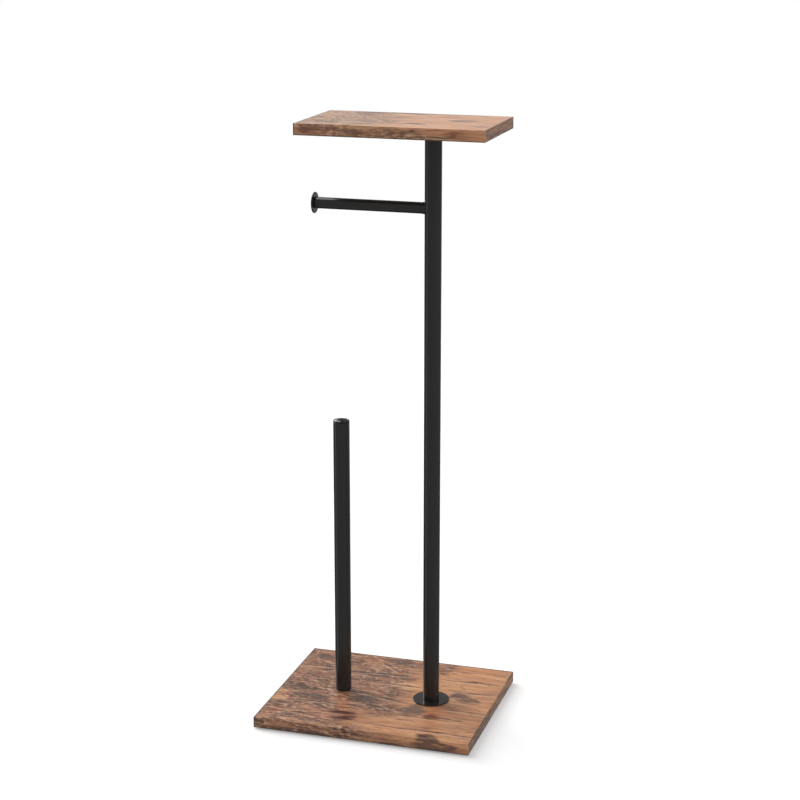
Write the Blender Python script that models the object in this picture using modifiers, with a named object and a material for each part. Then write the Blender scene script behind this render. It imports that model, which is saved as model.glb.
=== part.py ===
"""Free-standing toilet paper holder with a tray, modelled in Blender 4.5. Metres, +Z up.

A wood-effect base board on four pads carries two steel tubes. The tall pole stands on a thin flange. It
carries the tray on a screwed plate, and the roll arm, which screws on against a saddle cut to the pole's
curve. The short rod takes the spare rolls, and a crowned plug closes its upper end.

The origin is on the floor, under the middle of the base board. X runs along the boards towards the pole,
and Y runs from the front to the back.
"""

import math
from collections import namedtuple

import bmesh
import bpy
from mathutils import Matrix

# Boards: printed particle board with glued edge bands
BASE_LENGTH = 0.300
BASE_DEPTH = 0.250
TRAY_LENGTH = 0.250
TRAY_DEPTH = 0.146
BOARD_THICKNESS = 0.015
BAND_THICKNESS = 0.001
BAND_ARRIS = 0.0004
GLUE_LINE = 0.0001

# Height of the tray above the floor, and the drop from there to the arm, for a roll between them
TRAY_TOP_HEIGHT = 0.812
ARM_DROP = 0.112

# Foot pads
PAD_DIAMETER = 0.022
PAD_HEIGHT = 0.002
PAD_EDGE_RADIUS = 0.0006
PAD_INSET = 0.022

# Pole, rod and the flange under the pole
POLE_DIAMETER = 0.0222
POLE_WALL = 0.0012
POLE_FROM_MIDDLE = 0.0635
ROD_FROM_MIDDLE = 0.0635
ROD_LENGTH = 0.3875
TUBE_DEBURR = 0.0002
FLANGE_DIAMETER = 0.050
FLANGE_THICKNESS = 0.0015
FLANGE_EDGE_RADIUS = 0.0005

# Machine fasteners, all on one thread, and the plugs that they screw into
THREAD_DIAMETER = 0.006
THREAD_CHAMFER = 0.0006
BOLT_HEAD_DIAMETER = 0.010
BOLT_HEAD_HEIGHT = 0.006
BOLT_HEAD_RADIUS = 0.0005
BOLT_SOCKET_FLATS = 0.005
BOLT_SOCKET_DEPTH = 0.003
BOLT_ENGAGEMENT = 0.011
WASHER_DIAMETER = 0.018
WASHER_THICKNESS = 0.0015
COUNTERBORE_CLEARANCE = 0.0005
HEAD_SETBACK = 0.0008
PLUG_LENGTH = 0.016
PLUG_SETBACK = 0.0005
PLUG_CHAMFER = 0.0006

# Tray plate and its screws
PLATE_DIAMETER = 0.060
PLATE_THICKNESS = 0.003
PLATE_EDGE_RADIUS = 0.0008
PLATE_SCREW_HEAD_DIAMETER = 0.0112
PLATE_SCREW_LENGTH = 0.014
PLATE_SOCKET_FLATS = 0.004
PLATE_SOCKET_DEPTH = 0.002
TRAY_SCREW_COUNT = 4
TRAY_SCREW_CIRCLE = 0.046
TRAY_SCREW_DIAMETER = 0.004
TRAY_SCREW_HEAD_DIAMETER = 0.0076
TRAY_SCREW_TIP_LENGTH = 0.003
TRAY_SCREW_TIP_DIAMETER = 0.001
TRAY_SCREW_BITE_SHARE = 0.7
PILOT_HOLE_SPARE = 0.001
CROSS_RECESS_SPAN = 0.0042
CROSS_RECESS_WIDTH = 0.001
CROSS_RECESS_DEPTH = 0.0015
SCREW_HEAD_LAND = 0.0003

# Roll arm
ARM_DIAMETER = 0.015
ARM_WALL = 0.001
ARM_REACH = 0.162
END_DISC_DIAMETER = 0.028
END_DISC_THICKNESS = 0.002
END_DISC_EDGE_RADIUS = 0.0008
END_DISC_SPIGOT_LENGTH = 0.012
END_DISC_SPIGOT_WALL = 0.002
SADDLE_WEB = 0.003
SADDLE_FLARE = 0.0004
ARM_PLUG_LENGTH = 0.014
STUD_LENGTH = 0.026
STUD_SOCKET_FLATS = 0.003
STUD_SOCKET_DEPTH = 0.003
RIVET_NUT_DIAMETER = 0.009
RIVET_NUT_FLANGE_DIAMETER = 0.0105
RIVET_NUT_FLANGE_THICKNESS = 0.0008
RIVET_NUT_BULGE_DIAMETER = 0.0115
RIVET_NUT_BULGE_LENGTH = 0.002
RIVET_NUT_LENGTH = 0.012

# Cap of the rod
CAP_RIM_HEIGHT = 0.0016
CAP_CROWN_HEIGHT = 0.0025
CAP_CORE_DIAMETER = 0.0165
CAP_CORE_WALL = 0.0018
CAP_PLUG_LENGTH = 0.013
CAP_FIN_THICKNESS = 0.0009
CAP_FIN_COUNT = 3

# Clearances, and how far a cutter passes the face that it opens
SEAT_GAP = 0.0003
CUT_OVERRUN = 0.002

# Facets
TUBE_STEPS = 48
SMALL_STEPS = 24
EDGE_STEPS = 2
CROWN_STEPS = 6
BEVEL_STEPS = 2
HEX_SIDES = 6
MERGE_DISTANCE = 0.00001
SHARP_ANGLE = math.radians(35)

# Heights and radii that follow from the sizes above
BASE_BOTTOM = PAD_HEIGHT + GLUE_LINE
BASE_TOP = BASE_BOTTOM + BOARD_THICKNESS
TRAY_BOTTOM = TRAY_TOP_HEIGHT - BOARD_THICKNESS
ARM_HEIGHT = TRAY_TOP_HEIGHT - ARM_DROP
PLATE_BOTTOM = TRAY_BOTTOM - SEAT_GAP - PLATE_THICKNESS
FLANGE_BOTTOM = BASE_TOP + SEAT_GAP
POLE_BOTTOM = FLANGE_BOTTOM + FLANGE_THICKNESS + SEAT_GAP
POLE_TOP = PLATE_BOTTOM - SEAT_GAP
ROD_BOTTOM = BASE_TOP + SEAT_GAP
BOLT_SEAT = BASE_BOTTOM + HEAD_SETBACK + BOLT_HEAD_HEIGHT
WASHER_BOTTOM = BOLT_SEAT + SEAT_GAP
COUNTERBORE_TOP = WASHER_BOTTOM + WASHER_THICKNESS + SEAT_GAP
TRAY_MIDDLE = (BASE_LENGTH - TRAY_LENGTH) / 2
TRAY_SCREW_BITE = BOARD_THICKNESS * TRAY_SCREW_BITE_SHARE
POLE_RADIUS = POLE_DIAMETER / 2
POLE_BORE_RADIUS = POLE_RADIUS - POLE_WALL
THREAD_RADIUS = THREAD_DIAMETER / 2
THREAD_HOLE_RADIUS = THREAD_RADIUS + SEAT_GAP
SADDLE_FACE = POLE_RADIUS + SADDLE_WEB
ARM_START = SADDLE_FACE + SEAT_GAP

PARTS = "toilet_paper_holder_with_tray"
CUTTERS = "cutters"

Finish = namedtuple("Finish", "colour roughness metallic")
PRINTED_FACE = Finish((0.27, 0.14, 0.08), 0.45, 0.0)
PRINTED_EDGE = Finish((0.19, 0.10, 0.06), 0.5, 0.0)
POWDER_COAT = Finish((0.02, 0.02, 0.021), 0.35, 0.0)
BLACK_PLASTIC = Finish((0.012, 0.012, 0.013), 0.2, 0.0)
PAD_FOAM = Finish((0.03, 0.03, 0.03), 0.9, 0.0)
ZINC_PLATE = Finish((0.55, 0.56, 0.58), 0.35, 1.0)


def clear_scene():
    """Removes every object, so that only this model is left."""
    for obj in list(bpy.data.objects):
        bpy.data.objects.remove(obj, do_unlink=True)


def add_collection(name):
    """A new collection in the scene."""
    collection = bpy.data.collections.new(name)
    bpy.context.scene.collection.children.link(collection)


def paint(obj, finish):
    """Gives an object its own Principled material."""
    material = bpy.data.materials.new(obj.name)
    material.use_nodes = True
    shader = material.node_tree.nodes["Principled BSDF"]
    shader.inputs["Base Color"].default_value = (*finish.colour, 1.0)
    shader.inputs["Roughness"].default_value = finish.roughness
    shader.inputs["Metallic"].default_value = finish.metallic
    material.diffuse_color = (*finish.colour, 1.0)
    obj.data.materials.append(material)


def add_frame(name, location, rotation=(0, 0, 0)):
    """An empty that carries one sub-assembly."""
    frame = bpy.data.objects.new(name, None)
    bpy.data.collections[PARTS].objects.link(frame)
    frame.location = location
    frame.rotation_euler = rotation
    return frame


def place(obj, finish, frame, location, rotation):
    """Puts a new object on its frame: a painted piece or, with no finish, a hidden cutter."""
    obj.parent = frame
    obj.location = location
    obj.rotation_euler = rotation
    if finish:
        bpy.data.collections[PARTS].objects.link(obj)
        paint(obj, finish)
    else:
        bpy.data.collections[CUTTERS].objects.link(obj)
        obj.hide_render = True
        obj.display_type = "WIRE"
    return obj


def arc(radius_at, height_at, size, start, end, steps=EDGE_STEPS):
    """Points of an arc about a centre in the profile's plane, between two angles in degrees."""
    turns = [math.radians(start + (end - start) * i / steps) for i in range(steps + 1)]
    return [(radius_at + size * math.cos(t), height_at + size * math.sin(t)) for t in turns]


def turned(name, profile, finish, frame, location=(0, 0, 0), rotation=(0, 0, 0), ring=False,
           steps=SMALL_STEPS):
    """A piece turned about its own Z. Its profile of (radius, height) points runs down the outside. A
    ring's profile comes back up the bore, and any other starts and ends on the axis."""
    count = len(profile)
    edges = [(i, (i + 1) % count) for i in range(count if ring else count - 1)]
    mesh = bpy.data.meshes.new(name)
    mesh.from_pydata([(radius, 0, height) for radius, height in profile], edges, [])
    obj = place(bpy.data.objects.new(name, mesh), finish, frame, location, rotation)
    screw = obj.modifiers.new("turn", "SCREW")
    screw.steps = steps
    screw.render_steps = steps
    screw.use_merge_vertices = True
    screw.merge_threshold = MERGE_DISTANCE
    return obj


def block(name, size, finish, frame, location=(0, 0, 0), rotation=(0, 0, 0)):
    """A box of the given size about its own centre."""
    mesh = bpy.data.meshes.new(name)
    shape = bmesh.new()
    bmesh.ops.create_cube(shape, size=1, matrix=Matrix.Diagonal((*size, 1)))
    shape.to_mesh(mesh)
    shape.free()
    return place(bpy.data.objects.new(name, mesh), finish, frame, location, rotation)


def cut(obj, cutter):
    """Takes the cutter's shape out of an object."""
    boolean = obj.modifiers.new(cutter.name, "BOOLEAN")
    boolean.operation = "DIFFERENCE"
    boolean.object = cutter


def rod_cutter(name, radius, bottom, top, frame, location=(0, 0, 0), rotation=(0, 0, 0),
               steps=SMALL_STEPS):
    """A plain cylinder to cut with, between two heights on its own Z."""
    profile = [(0, top), (radius, top), (radius, bottom), (0, bottom)]
    return turned(name, profile, None, frame, location, rotation, steps=steps)


def cut_hex_socket(obj, flats, bottom, top, frame, location=(0, 0, 0)):
    """Opens a six-sided key socket between two heights on the fastener's axis."""
    radius = flats / 2 / math.cos(math.pi / HEX_SIDES)
    cutter = rod_cutter(obj.name + "_socket", radius, bottom, top, frame, location, steps=HEX_SIDES)
    cut(obj, cutter)


def tube(name, radius, wall, bottom, top, frame):
    """A round tube on its frame's Z, with its cut ends deburred."""
    bore = radius - wall
    profile = [
        (radius - TUBE_DEBURR, top),
        (radius, top - TUBE_DEBURR),
        (radius, bottom + TUBE_DEBURR),
        (radius - TUBE_DEBURR, bottom),
        (bore, bottom),
        (bore, top),
    ]
    return turned(name, profile, POWDER_COAT, frame, ring=True, steps=TUBE_STEPS)


def threaded_plug(name, bore_radius, bottom, length, frame):
    """The plug that is pressed into a tube's end, with a threaded hole through it."""
    radius = bore_radius - SEAT_GAP
    top = bottom + length
    profile = [
        (radius - PLUG_CHAMFER, top),
        (radius, top - PLUG_CHAMFER),
        (radius, bottom + PLUG_CHAMFER),
        (radius - PLUG_CHAMFER, bottom),
        (THREAD_HOLE_RADIUS, bottom),
        (THREAD_HOLE_RADIUS, top),
    ]
    return turned(name, profile, ZINC_PLATE, frame, ring=True)


def countersunk_profile(thread_radius, head_radius, tip, end, top=0):
    """A countersunk screw's outline, or its hole's, from the head's face down to the tip."""
    return [
        (0, top),
        (head_radius, top),
        (head_radius, -SCREW_HEAD_LAND),
        (thread_radius, -SCREW_HEAD_LAND - (head_radius - thread_radius)),
        (thread_radius, tip),
        *end,
    ]


def foot_bolt(name, tip, frame):
    """A socket-head bolt that comes up through the base board, with its washer under the head."""
    head_radius = BOLT_HEAD_DIAMETER / 2
    head_bottom = BOLT_SEAT - BOLT_HEAD_HEIGHT
    profile = [
        (0, tip),
        (THREAD_RADIUS - THREAD_CHAMFER, tip),
        (THREAD_RADIUS, tip - THREAD_CHAMFER),
        (THREAD_RADIUS, BOLT_SEAT),
        (head_radius, BOLT_SEAT),
        *arc(head_radius - BOLT_HEAD_RADIUS, head_bottom + BOLT_HEAD_RADIUS, BOLT_HEAD_RADIUS, 0, -90),
        (0, head_bottom),
    ]
    bolt = turned(name + "_bolt", profile, ZINC_PLATE, frame)
    socket_end = head_bottom + BOLT_SOCKET_DEPTH
    cut_hex_socket(bolt, BOLT_SOCKET_FLATS, head_bottom - CUT_OVERRUN, socket_end, frame)
    washer_top = WASHER_BOTTOM + WASHER_THICKNESS
    washer = [
        (WASHER_DIAMETER / 2, washer_top),
        (WASHER_DIAMETER / 2, WASHER_BOTTOM),
        (THREAD_HOLE_RADIUS, WASHER_BOTTOM),
        (THREAD_HOLE_RADIUS, washer_top),
    ]
    turned(name + "_washer", washer, ZINC_PLATE, frame, ring=True)


def cut_bolt_hole(board, name, frame):
    """A hole through the base board, counterbored from below for the bolt's head and washer."""
    counterbore_radius = WASHER_DIAMETER / 2 + COUNTERBORE_CLEARANCE
    profile = [
        (0, BASE_TOP + CUT_OVERRUN),
        (THREAD_HOLE_RADIUS, BASE_TOP + CUT_OVERRUN),
        (THREAD_HOLE_RADIUS, COUNTERBORE_TOP),
        (counterbore_radius, COUNTERBORE_TOP),
        (counterbore_radius, BASE_BOTTOM - CUT_OVERRUN),
        (0, BASE_BOTTOM - CUT_OVERRUN),
    ]
    cut(board, turned(name + "_bolt_hole", profile, None, frame))


def band(name, size, outward, location, frame, with_ends):
    """A strip of edge band. The corners of its outer face are scraped, with its ends if they show."""
    strip = block(name, size, PRINTED_EDGE, frame, location)
    shape = bmesh.new()
    shape.from_mesh(strip.data)
    weight = shape.edges.layers.float.new("bevel_weight_edge")
    axis = 0 if outward[0] else 1
    for edge in shape.edges:
        first, second = (vertex.co for vertex in edge.verts)
        outside = first[axis] * outward[axis] > 0 and second[axis] * outward[axis] > 0
        upright = first.z != second.z
        if outside and (with_ends or not upright):
            edge[weight] = 1
    shape.to_mesh(strip.data)
    shape.free()
    bevel = strip.modifiers.new("scraped_corners", "BEVEL")
    bevel.limit_method = "WEIGHT"
    bevel.width = BAND_ARRIS
    bevel.segments = BEVEL_STEPS


def board_with_bands(prefix, length, depth, bottom, frame):
    """A board and its four edge bands. The front and back bands cover the ends of the other two."""
    edge = BAND_THICKNESS + GLUE_LINE
    middle = bottom + BOARD_THICKNESS / 2
    core = (length - 2 * edge, depth - 2 * edge, BOARD_THICKNESS)
    board = block(prefix + "_board", core, PRINTED_FACE, frame, (0, 0, middle))
    for side, sign in (("front", -1), ("back", 1)):
        size = (length, BAND_THICKNESS, BOARD_THICKNESS)
        location = (0, sign * (depth - BAND_THICKNESS) / 2, middle)
        band(f"{prefix}_band_{side}", size, (0, sign), location, frame, with_ends=True)
    for side, sign in (("left", -1), ("right", 1)):
        size = (BAND_THICKNESS, core[1], BOARD_THICKNESS)
        location = (sign * (length - BAND_THICKNESS) / 2, 0, middle)
        band(f"{prefix}_band_{side}", size, (sign, 0), location, frame, with_ends=False)
    return board


def build_base(pole_foot, rod_foot):
    """The base board on its four pads, drilled for the two foot bolts."""
    frame = add_frame("base_assembly", (0, 0, 0))
    board = board_with_bands("base", BASE_LENGTH, BASE_DEPTH, BASE_BOTTOM, frame)
    cut_bolt_hole(board, "pole", pole_foot)
    cut_bolt_hole(board, "rod", rod_foot)
    pad_radius = PAD_DIAMETER / 2
    pad = [
        (0, PAD_HEIGHT),
        (pad_radius, PAD_HEIGHT),
        *arc(pad_radius - PAD_EDGE_RADIUS, PAD_EDGE_RADIUS, PAD_EDGE_RADIUS, 0, -90),
        (0, 0),
    ]
    for end, y_sign in (("front", -1), ("back", 1)):
        for side, x_sign in (("left", -1), ("right", 1)):
            x = x_sign * (BASE_LENGTH / 2 - PAD_INSET)
            y = y_sign * (BASE_DEPTH / 2 - PAD_INSET)
            turned(f"foot_pad_{end}_{side}", pad, PAD_FOAM, frame, (x, y, 0))


def build_pole(frame):
    """The pole on its flange, with its end plugs and foot bolt, and the hole for the arm's rivet nut."""
    flange_top = FLANGE_BOTTOM + FLANGE_THICKNESS
    flange_radius = FLANGE_DIAMETER / 2
    edge = FLANGE_EDGE_RADIUS
    flange = [
        *arc(flange_radius - edge, flange_top - edge, edge, 90, 0),
        (flange_radius, FLANGE_BOTTOM),
        (THREAD_HOLE_RADIUS, FLANGE_BOTTOM),
        (THREAD_HOLE_RADIUS, flange_top),
    ]
    turned("pole_flange", flange, POWDER_COAT, frame, ring=True, steps=TUBE_STEPS)
    pole = tube("pole_tube", POLE_RADIUS, POLE_WALL, POLE_BOTTOM, POLE_TOP, frame)
    foot_plug_bottom = POLE_BOTTOM + PLUG_SETBACK
    top_plug_bottom = POLE_TOP - PLUG_SETBACK - PLUG_LENGTH
    threaded_plug("pole_foot_plug", POLE_BORE_RADIUS, foot_plug_bottom, PLUG_LENGTH, frame)
    threaded_plug("pole_top_plug", POLE_BORE_RADIUS, top_plug_bottom, PLUG_LENGTH, frame)
    foot_bolt("pole", foot_plug_bottom + BOLT_ENGAGEMENT, frame)
    return pole


def build_rod(frame):
    """The rod for spare rolls, with its foot plug and bolt, and the finned cap that closes its top."""
    tube("rod_tube", POLE_RADIUS, POLE_WALL, ROD_BOTTOM, ROD_BOTTOM + ROD_LENGTH, frame)
    plug_bottom = ROD_BOTTOM + PLUG_SETBACK
    threaded_plug("rod_foot_plug", POLE_BORE_RADIUS, plug_bottom, PLUG_LENGTH, frame)
    foot_bolt("rod", plug_bottom + BOLT_ENGAGEMENT, frame)

    core_radius = CAP_CORE_DIAMETER / 2
    fin_radius = POLE_BORE_RADIUS - SEAT_GAP
    rim_top = SEAT_GAP + CAP_RIM_HEIGHT
    crown_radius = (POLE_RADIUS**2 + CAP_CROWN_HEIGHT**2) / (2 * CAP_CROWN_HEIGHT)
    crown_drop = crown_radius - CAP_CROWN_HEIGHT
    crown_end = math.degrees(math.atan2(crown_drop, POLE_RADIUS))
    cap = [
        *arc(0, rim_top - crown_drop, crown_radius, 90, crown_end, CROWN_STEPS),
        (POLE_RADIUS, SEAT_GAP),
        (core_radius, SEAT_GAP),
    ]
    fin_pitch = CAP_PLUG_LENGTH / CAP_FIN_COUNT
    for i in range(CAP_FIN_COUNT):
        fin_top = -fin_pitch * i - fin_pitch / 2
        cap += [
            (core_radius, fin_top),
            (fin_radius, fin_top),
            (fin_radius, fin_top - CAP_FIN_THICKNESS / 2),
            (core_radius, fin_top - CAP_FIN_THICKNESS),
        ]
    cap += [
        (core_radius, -CAP_PLUG_LENGTH),
        (core_radius - CAP_CORE_WALL, -CAP_PLUG_LENGTH),
        (core_radius - CAP_CORE_WALL, 0),
        (0, 0),
    ]
    location = (0, 0, ROD_BOTTOM + ROD_LENGTH)
    turned("rod_cap", cap, BLACK_PLASTIC, frame, location, steps=TUBE_STEPS)


def build_arm(frame, pole, pole_frame):
    """The roll arm. Along its frame's Z, heights are distances from the pole's axis."""
    arm_radius = ARM_DIAMETER / 2
    arm_bore_radius = arm_radius - ARM_WALL
    disc_back = ARM_REACH - END_DISC_THICKNESS
    tube("arm_tube", arm_radius, ARM_WALL, ARM_START, disc_back - SEAT_GAP, frame)
    threaded_plug("arm_plug", arm_bore_radius, ARM_START + PLUG_SETBACK, ARM_PLUG_LENGTH, frame)
    build_rivet_nut(frame, pole)
    build_saddle(frame, arm_radius, pole_frame)

    stud_start = SADDLE_FACE - STUD_LENGTH / 2
    stud_end = stud_start + STUD_LENGTH
    stud = [
        (0, stud_end),
        (THREAD_RADIUS - THREAD_CHAMFER, stud_end),
        (THREAD_RADIUS, stud_end - THREAD_CHAMFER),
        (THREAD_RADIUS, stud_start + THREAD_CHAMFER),
        (THREAD_RADIUS - THREAD_CHAMFER, stud_start),
        (0, stud_start),
    ]
    stud = turned("arm_stud", stud, ZINC_PLATE, frame)
    cut_hex_socket(stud, STUD_SOCKET_FLATS, stud_end - STUD_SOCKET_DEPTH, stud_end + CUT_OVERRUN, frame)

    disc_radius = END_DISC_DIAMETER / 2
    edge_centre = disc_radius - END_DISC_EDGE_RADIUS
    spigot_radius = arm_bore_radius - SEAT_GAP
    spigot_end = disc_back - END_DISC_SPIGOT_LENGTH
    disc = [
        (0, ARM_REACH),
        *arc(edge_centre, ARM_REACH - END_DISC_EDGE_RADIUS, END_DISC_EDGE_RADIUS, 90, 0),
        *arc(edge_centre, disc_back + END_DISC_EDGE_RADIUS, END_DISC_EDGE_RADIUS, 0, -90),
        (spigot_radius, disc_back),
        (spigot_radius, spigot_end + PLUG_CHAMFER),
        (spigot_radius - PLUG_CHAMFER, spigot_end),
        (spigot_radius - END_DISC_SPIGOT_WALL, spigot_end),
        (spigot_radius - END_DISC_SPIGOT_WALL, disc_back),
        (0, disc_back),
    ]
    turned("arm_end_disc", disc, POWDER_COAT, frame, steps=TUBE_STEPS)


def build_rivet_nut(frame, pole):
    """The rivet nut in the pole's wall, with the bulge that pulling it up has formed behind the wall."""
    body_radius = RIVET_NUT_DIAMETER / 2
    flange_radius = RIVET_NUT_FLANGE_DIAMETER / 2
    bulge_radius = RIVET_NUT_BULGE_DIAMETER / 2
    flange_back = POLE_RADIUS + SEAT_GAP
    flange_face = flange_back + RIVET_NUT_FLANGE_THICKNESS
    bulge_face = math.sqrt(POLE_BORE_RADIUS**2 - bulge_radius**2) - SEAT_GAP
    bulge_back = bulge_face - RIVET_NUT_BULGE_LENGTH
    bulge_slope = bulge_radius - body_radius
    nut_end = flange_face - RIVET_NUT_LENGTH
    nut = [
        (flange_radius, flange_face),
        (flange_radius, flange_back),
        (body_radius, flange_back),
        (body_radius, bulge_face),
        (bulge_radius, bulge_face - bulge_slope / 2),
        (bulge_radius, bulge_back + bulge_slope / 2),
        (body_radius, bulge_back),
        (body_radius, nut_end),
        (THREAD_HOLE_RADIUS, nut_end),
        (THREAD_HOLE_RADIUS, flange_face),
    ]
    turned("arm_rivet_nut", nut, ZINC_PLATE, frame, ring=True)
    hole_radius = body_radius + SEAT_GAP
    cut(pole, rod_cutter("rivet_nut_hole", hole_radius, 0, POLE_RADIUS + CUT_OVERRUN, frame))


def build_saddle(frame, arm_radius, pole_frame):
    """The saddle: flat against the arm, flared and cut to the pole's curve on its other side, and
    recessed there for the rivet nut's flange."""
    recess_radius = RIVET_NUT_FLANGE_DIAMETER / 2 + SEAT_GAP
    recess_face = POLE_RADIUS + SEAT_GAP + RIVET_NUT_FLANGE_THICKNESS + SEAT_GAP
    flared_radius = arm_radius + SADDLE_FLARE
    inside_pole = POLE_RADIUS / 2
    saddle = [
        *arc(flared_radius, SADDLE_FACE, SADDLE_FLARE, 180, 270),
        (flared_radius, inside_pole),
        (recess_radius, inside_pole),
        (recess_radius, recess_face),
        (THREAD_HOLE_RADIUS, recess_face),
        (THREAD_HOLE_RADIUS, SADDLE_FACE),
    ]
    saddle = turned("arm_saddle", saddle, POWDER_COAT, frame, ring=True, steps=TUBE_STEPS)
    envelope_radius = POLE_RADIUS + SEAT_GAP
    bottom = ARM_HEIGHT - flared_radius - CUT_OVERRUN
    top = ARM_HEIGHT + flared_radius + CUT_OVERRUN
    cut(saddle, rod_cutter("pole_envelope", envelope_radius, bottom, top, pole_frame, steps=TUBE_STEPS))


def build_tray(pole_frame):
    """The tray board, the plate on the pole's upper end and the screws that hold them together."""
    frame = add_frame("tray_assembly", (TRAY_MIDDLE, 0, 0))
    board = board_with_bands("tray", TRAY_LENGTH, TRAY_DEPTH, TRAY_BOTTOM, frame)

    plate_radius = PLATE_DIAMETER / 2
    plate_top = PLATE_BOTTOM + PLATE_THICKNESS
    head_radius = PLATE_SCREW_HEAD_DIAMETER / 2
    sink_radius = head_radius + SEAT_GAP
    sink_top = plate_top - SCREW_HEAD_LAND
    plate = [
        (plate_radius, plate_top),
        *arc(plate_radius - PLATE_EDGE_RADIUS, PLATE_BOTTOM + PLATE_EDGE_RADIUS, PLATE_EDGE_RADIUS, 0, -90),
        (THREAD_HOLE_RADIUS, PLATE_BOTTOM),
        (THREAD_HOLE_RADIUS, sink_top - (sink_radius - THREAD_HOLE_RADIUS)),
        (sink_radius, sink_top),
        (sink_radius, plate_top),
    ]
    plate = turned("tray_plate", plate, POWDER_COAT, pole_frame, ring=True, steps=TUBE_STEPS)

    tip_radius = THREAD_RADIUS - THREAD_CHAMFER
    end = [(tip_radius, -PLATE_SCREW_LENGTH), (0, -PLATE_SCREW_LENGTH)]
    profile = countersunk_profile(THREAD_RADIUS, head_radius, THREAD_CHAMFER - PLATE_SCREW_LENGTH, end)
    location = (0, 0, plate_top)
    screw = turned("plate_screw", profile, ZINC_PLATE, pole_frame, location)
    cut_hex_socket(screw, PLATE_SOCKET_FLATS, -PLATE_SOCKET_DEPTH, CUT_OVERRUN, pole_frame, location)

    between = math.tau / TRAY_SCREW_COUNT
    for i in range(TRAY_SCREW_COUNT):
        turn = between * i + between / 2
        x = math.cos(turn) * TRAY_SCREW_CIRCLE / 2
        y = math.sin(turn) * TRAY_SCREW_CIRCLE / 2
        tray_screw(f"tray_screw_{i + 1}", (x, y, PLATE_BOTTOM), plate, board, pole_frame)


def tray_screw(name, location, plate, board, frame):
    """One cross-head screw up through the plate into the tray board, with the holes that it needs."""
    upside_down = (math.pi, 0, 0)
    radius = TRAY_SCREW_DIAMETER / 2
    head_radius = TRAY_SCREW_HEAD_DIAMETER / 2
    length = PLATE_THICKNESS + SEAT_GAP + TRAY_SCREW_BITE
    end = [(TRAY_SCREW_TIP_DIAMETER / 2, -length), (0, -length)]
    profile = countersunk_profile(radius, head_radius, TRAY_SCREW_TIP_LENGTH - length, end)
    screw = turned(name, profile, ZINC_PLATE, frame, location, upside_down)
    slot = (CROSS_RECESS_SPAN, CROSS_RECESS_WIDTH)
    for way, size in (("along", slot), ("across", slot[::-1])):
        recess = block(f"{name}_recess_{way}", (*size, 2 * CROSS_RECESS_DEPTH), None, frame, location)
        cut(screw, recess)

    hole_radius = radius + SEAT_GAP
    hole_end = -PLATE_THICKNESS - CUT_OVERRUN
    hole = countersunk_profile(hole_radius, head_radius + SEAT_GAP, hole_end, [(0, hole_end)], CUT_OVERRUN)
    cut(plate, turned(name + "_sink", hole, None, frame, location, upside_down))

    x, y, _ = location
    pilot_bottom = TRAY_BOTTOM - CUT_OVERRUN
    pilot_top = TRAY_BOTTOM + TRAY_SCREW_BITE + PILOT_HOLE_SPARE
    cut(board, rod_cutter(name + "_pilot", hole_radius, pilot_bottom, pilot_top, frame, (x, y, 0)))


def realise():
    """Turns every piece's modifiers into its mesh, and shades the round ones smooth with sharp corners."""
    bpy.context.view_layer.update()
    graph = bpy.context.evaluated_depsgraph_get()
    pieces = [obj for obj in bpy.data.collections[PARTS].objects if obj.type == "MESH" and obj.modifiers]
    meshes = [bpy.data.meshes.new_from_object(obj.evaluated_get(graph)) for obj in pieces]
    for obj, mesh in zip(pieces, meshes):
        turned_piece = "turn" in obj.modifiers
        obj.modifiers.clear()
        obj.data = mesh
        if turned_piece:
            mesh.shade_smooth()
            mesh.set_sharp_from_angle(angle=SHARP_ANGLE)


def main():
    clear_scene()
    add_collection(PARTS)
    add_collection(CUTTERS)
    pole_frame = add_frame("pole_assembly", (POLE_FROM_MIDDLE, 0, 0))
    rod_frame = add_frame("rod_assembly", (-ROD_FROM_MIDDLE, 0, 0))
    arm_frame = add_frame("arm_assembly", (POLE_FROM_MIDDLE, 0, ARM_HEIGHT), (0, -math.pi / 2, 0))
    build_base(pole_frame, rod_frame)
    pole = build_pole(pole_frame)
    build_rod(rod_frame)
    build_arm(arm_frame, pole, pole_frame)
    build_tray(pole_frame)
    realise()


main()
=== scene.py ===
"""Looks of the free-standing toilet paper holder with a tray: finishes, fine pieces, studio and camera.

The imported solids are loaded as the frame, in metres with +Z up. Each sub-assembly is a class that dresses its
solids and makes the pieces that need a finer shape. Sizes that belong to the solids are read from the frame,
and the finer shapes and the prints are worked out in millimetres.
"""

import logging
import math
from abc import ABC, abstractmethod
from collections.abc import Callable, Sequence
from dataclasses import dataclass
from enum import Enum
from functools import partial

import bmesh
import bpy
from mathutils import Matrix, Vector


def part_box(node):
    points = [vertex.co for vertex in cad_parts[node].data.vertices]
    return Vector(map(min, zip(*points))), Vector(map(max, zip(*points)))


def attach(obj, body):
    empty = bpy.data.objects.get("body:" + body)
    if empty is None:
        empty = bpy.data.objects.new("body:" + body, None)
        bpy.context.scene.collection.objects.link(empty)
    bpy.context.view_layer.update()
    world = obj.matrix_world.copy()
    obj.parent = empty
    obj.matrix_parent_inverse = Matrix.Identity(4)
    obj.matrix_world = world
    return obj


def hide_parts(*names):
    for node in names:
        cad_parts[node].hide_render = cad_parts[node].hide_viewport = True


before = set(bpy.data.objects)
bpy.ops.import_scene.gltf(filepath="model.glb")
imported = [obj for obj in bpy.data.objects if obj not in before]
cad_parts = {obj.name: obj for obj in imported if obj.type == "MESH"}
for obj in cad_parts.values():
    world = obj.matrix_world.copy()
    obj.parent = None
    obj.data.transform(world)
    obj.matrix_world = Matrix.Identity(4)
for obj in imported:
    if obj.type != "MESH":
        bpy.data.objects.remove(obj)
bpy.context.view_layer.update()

ROOT = "root"
MM = 0.001
MM_PER_METRE = 1000.0
WELD_DISTANCE = 0.01 * MM
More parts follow.
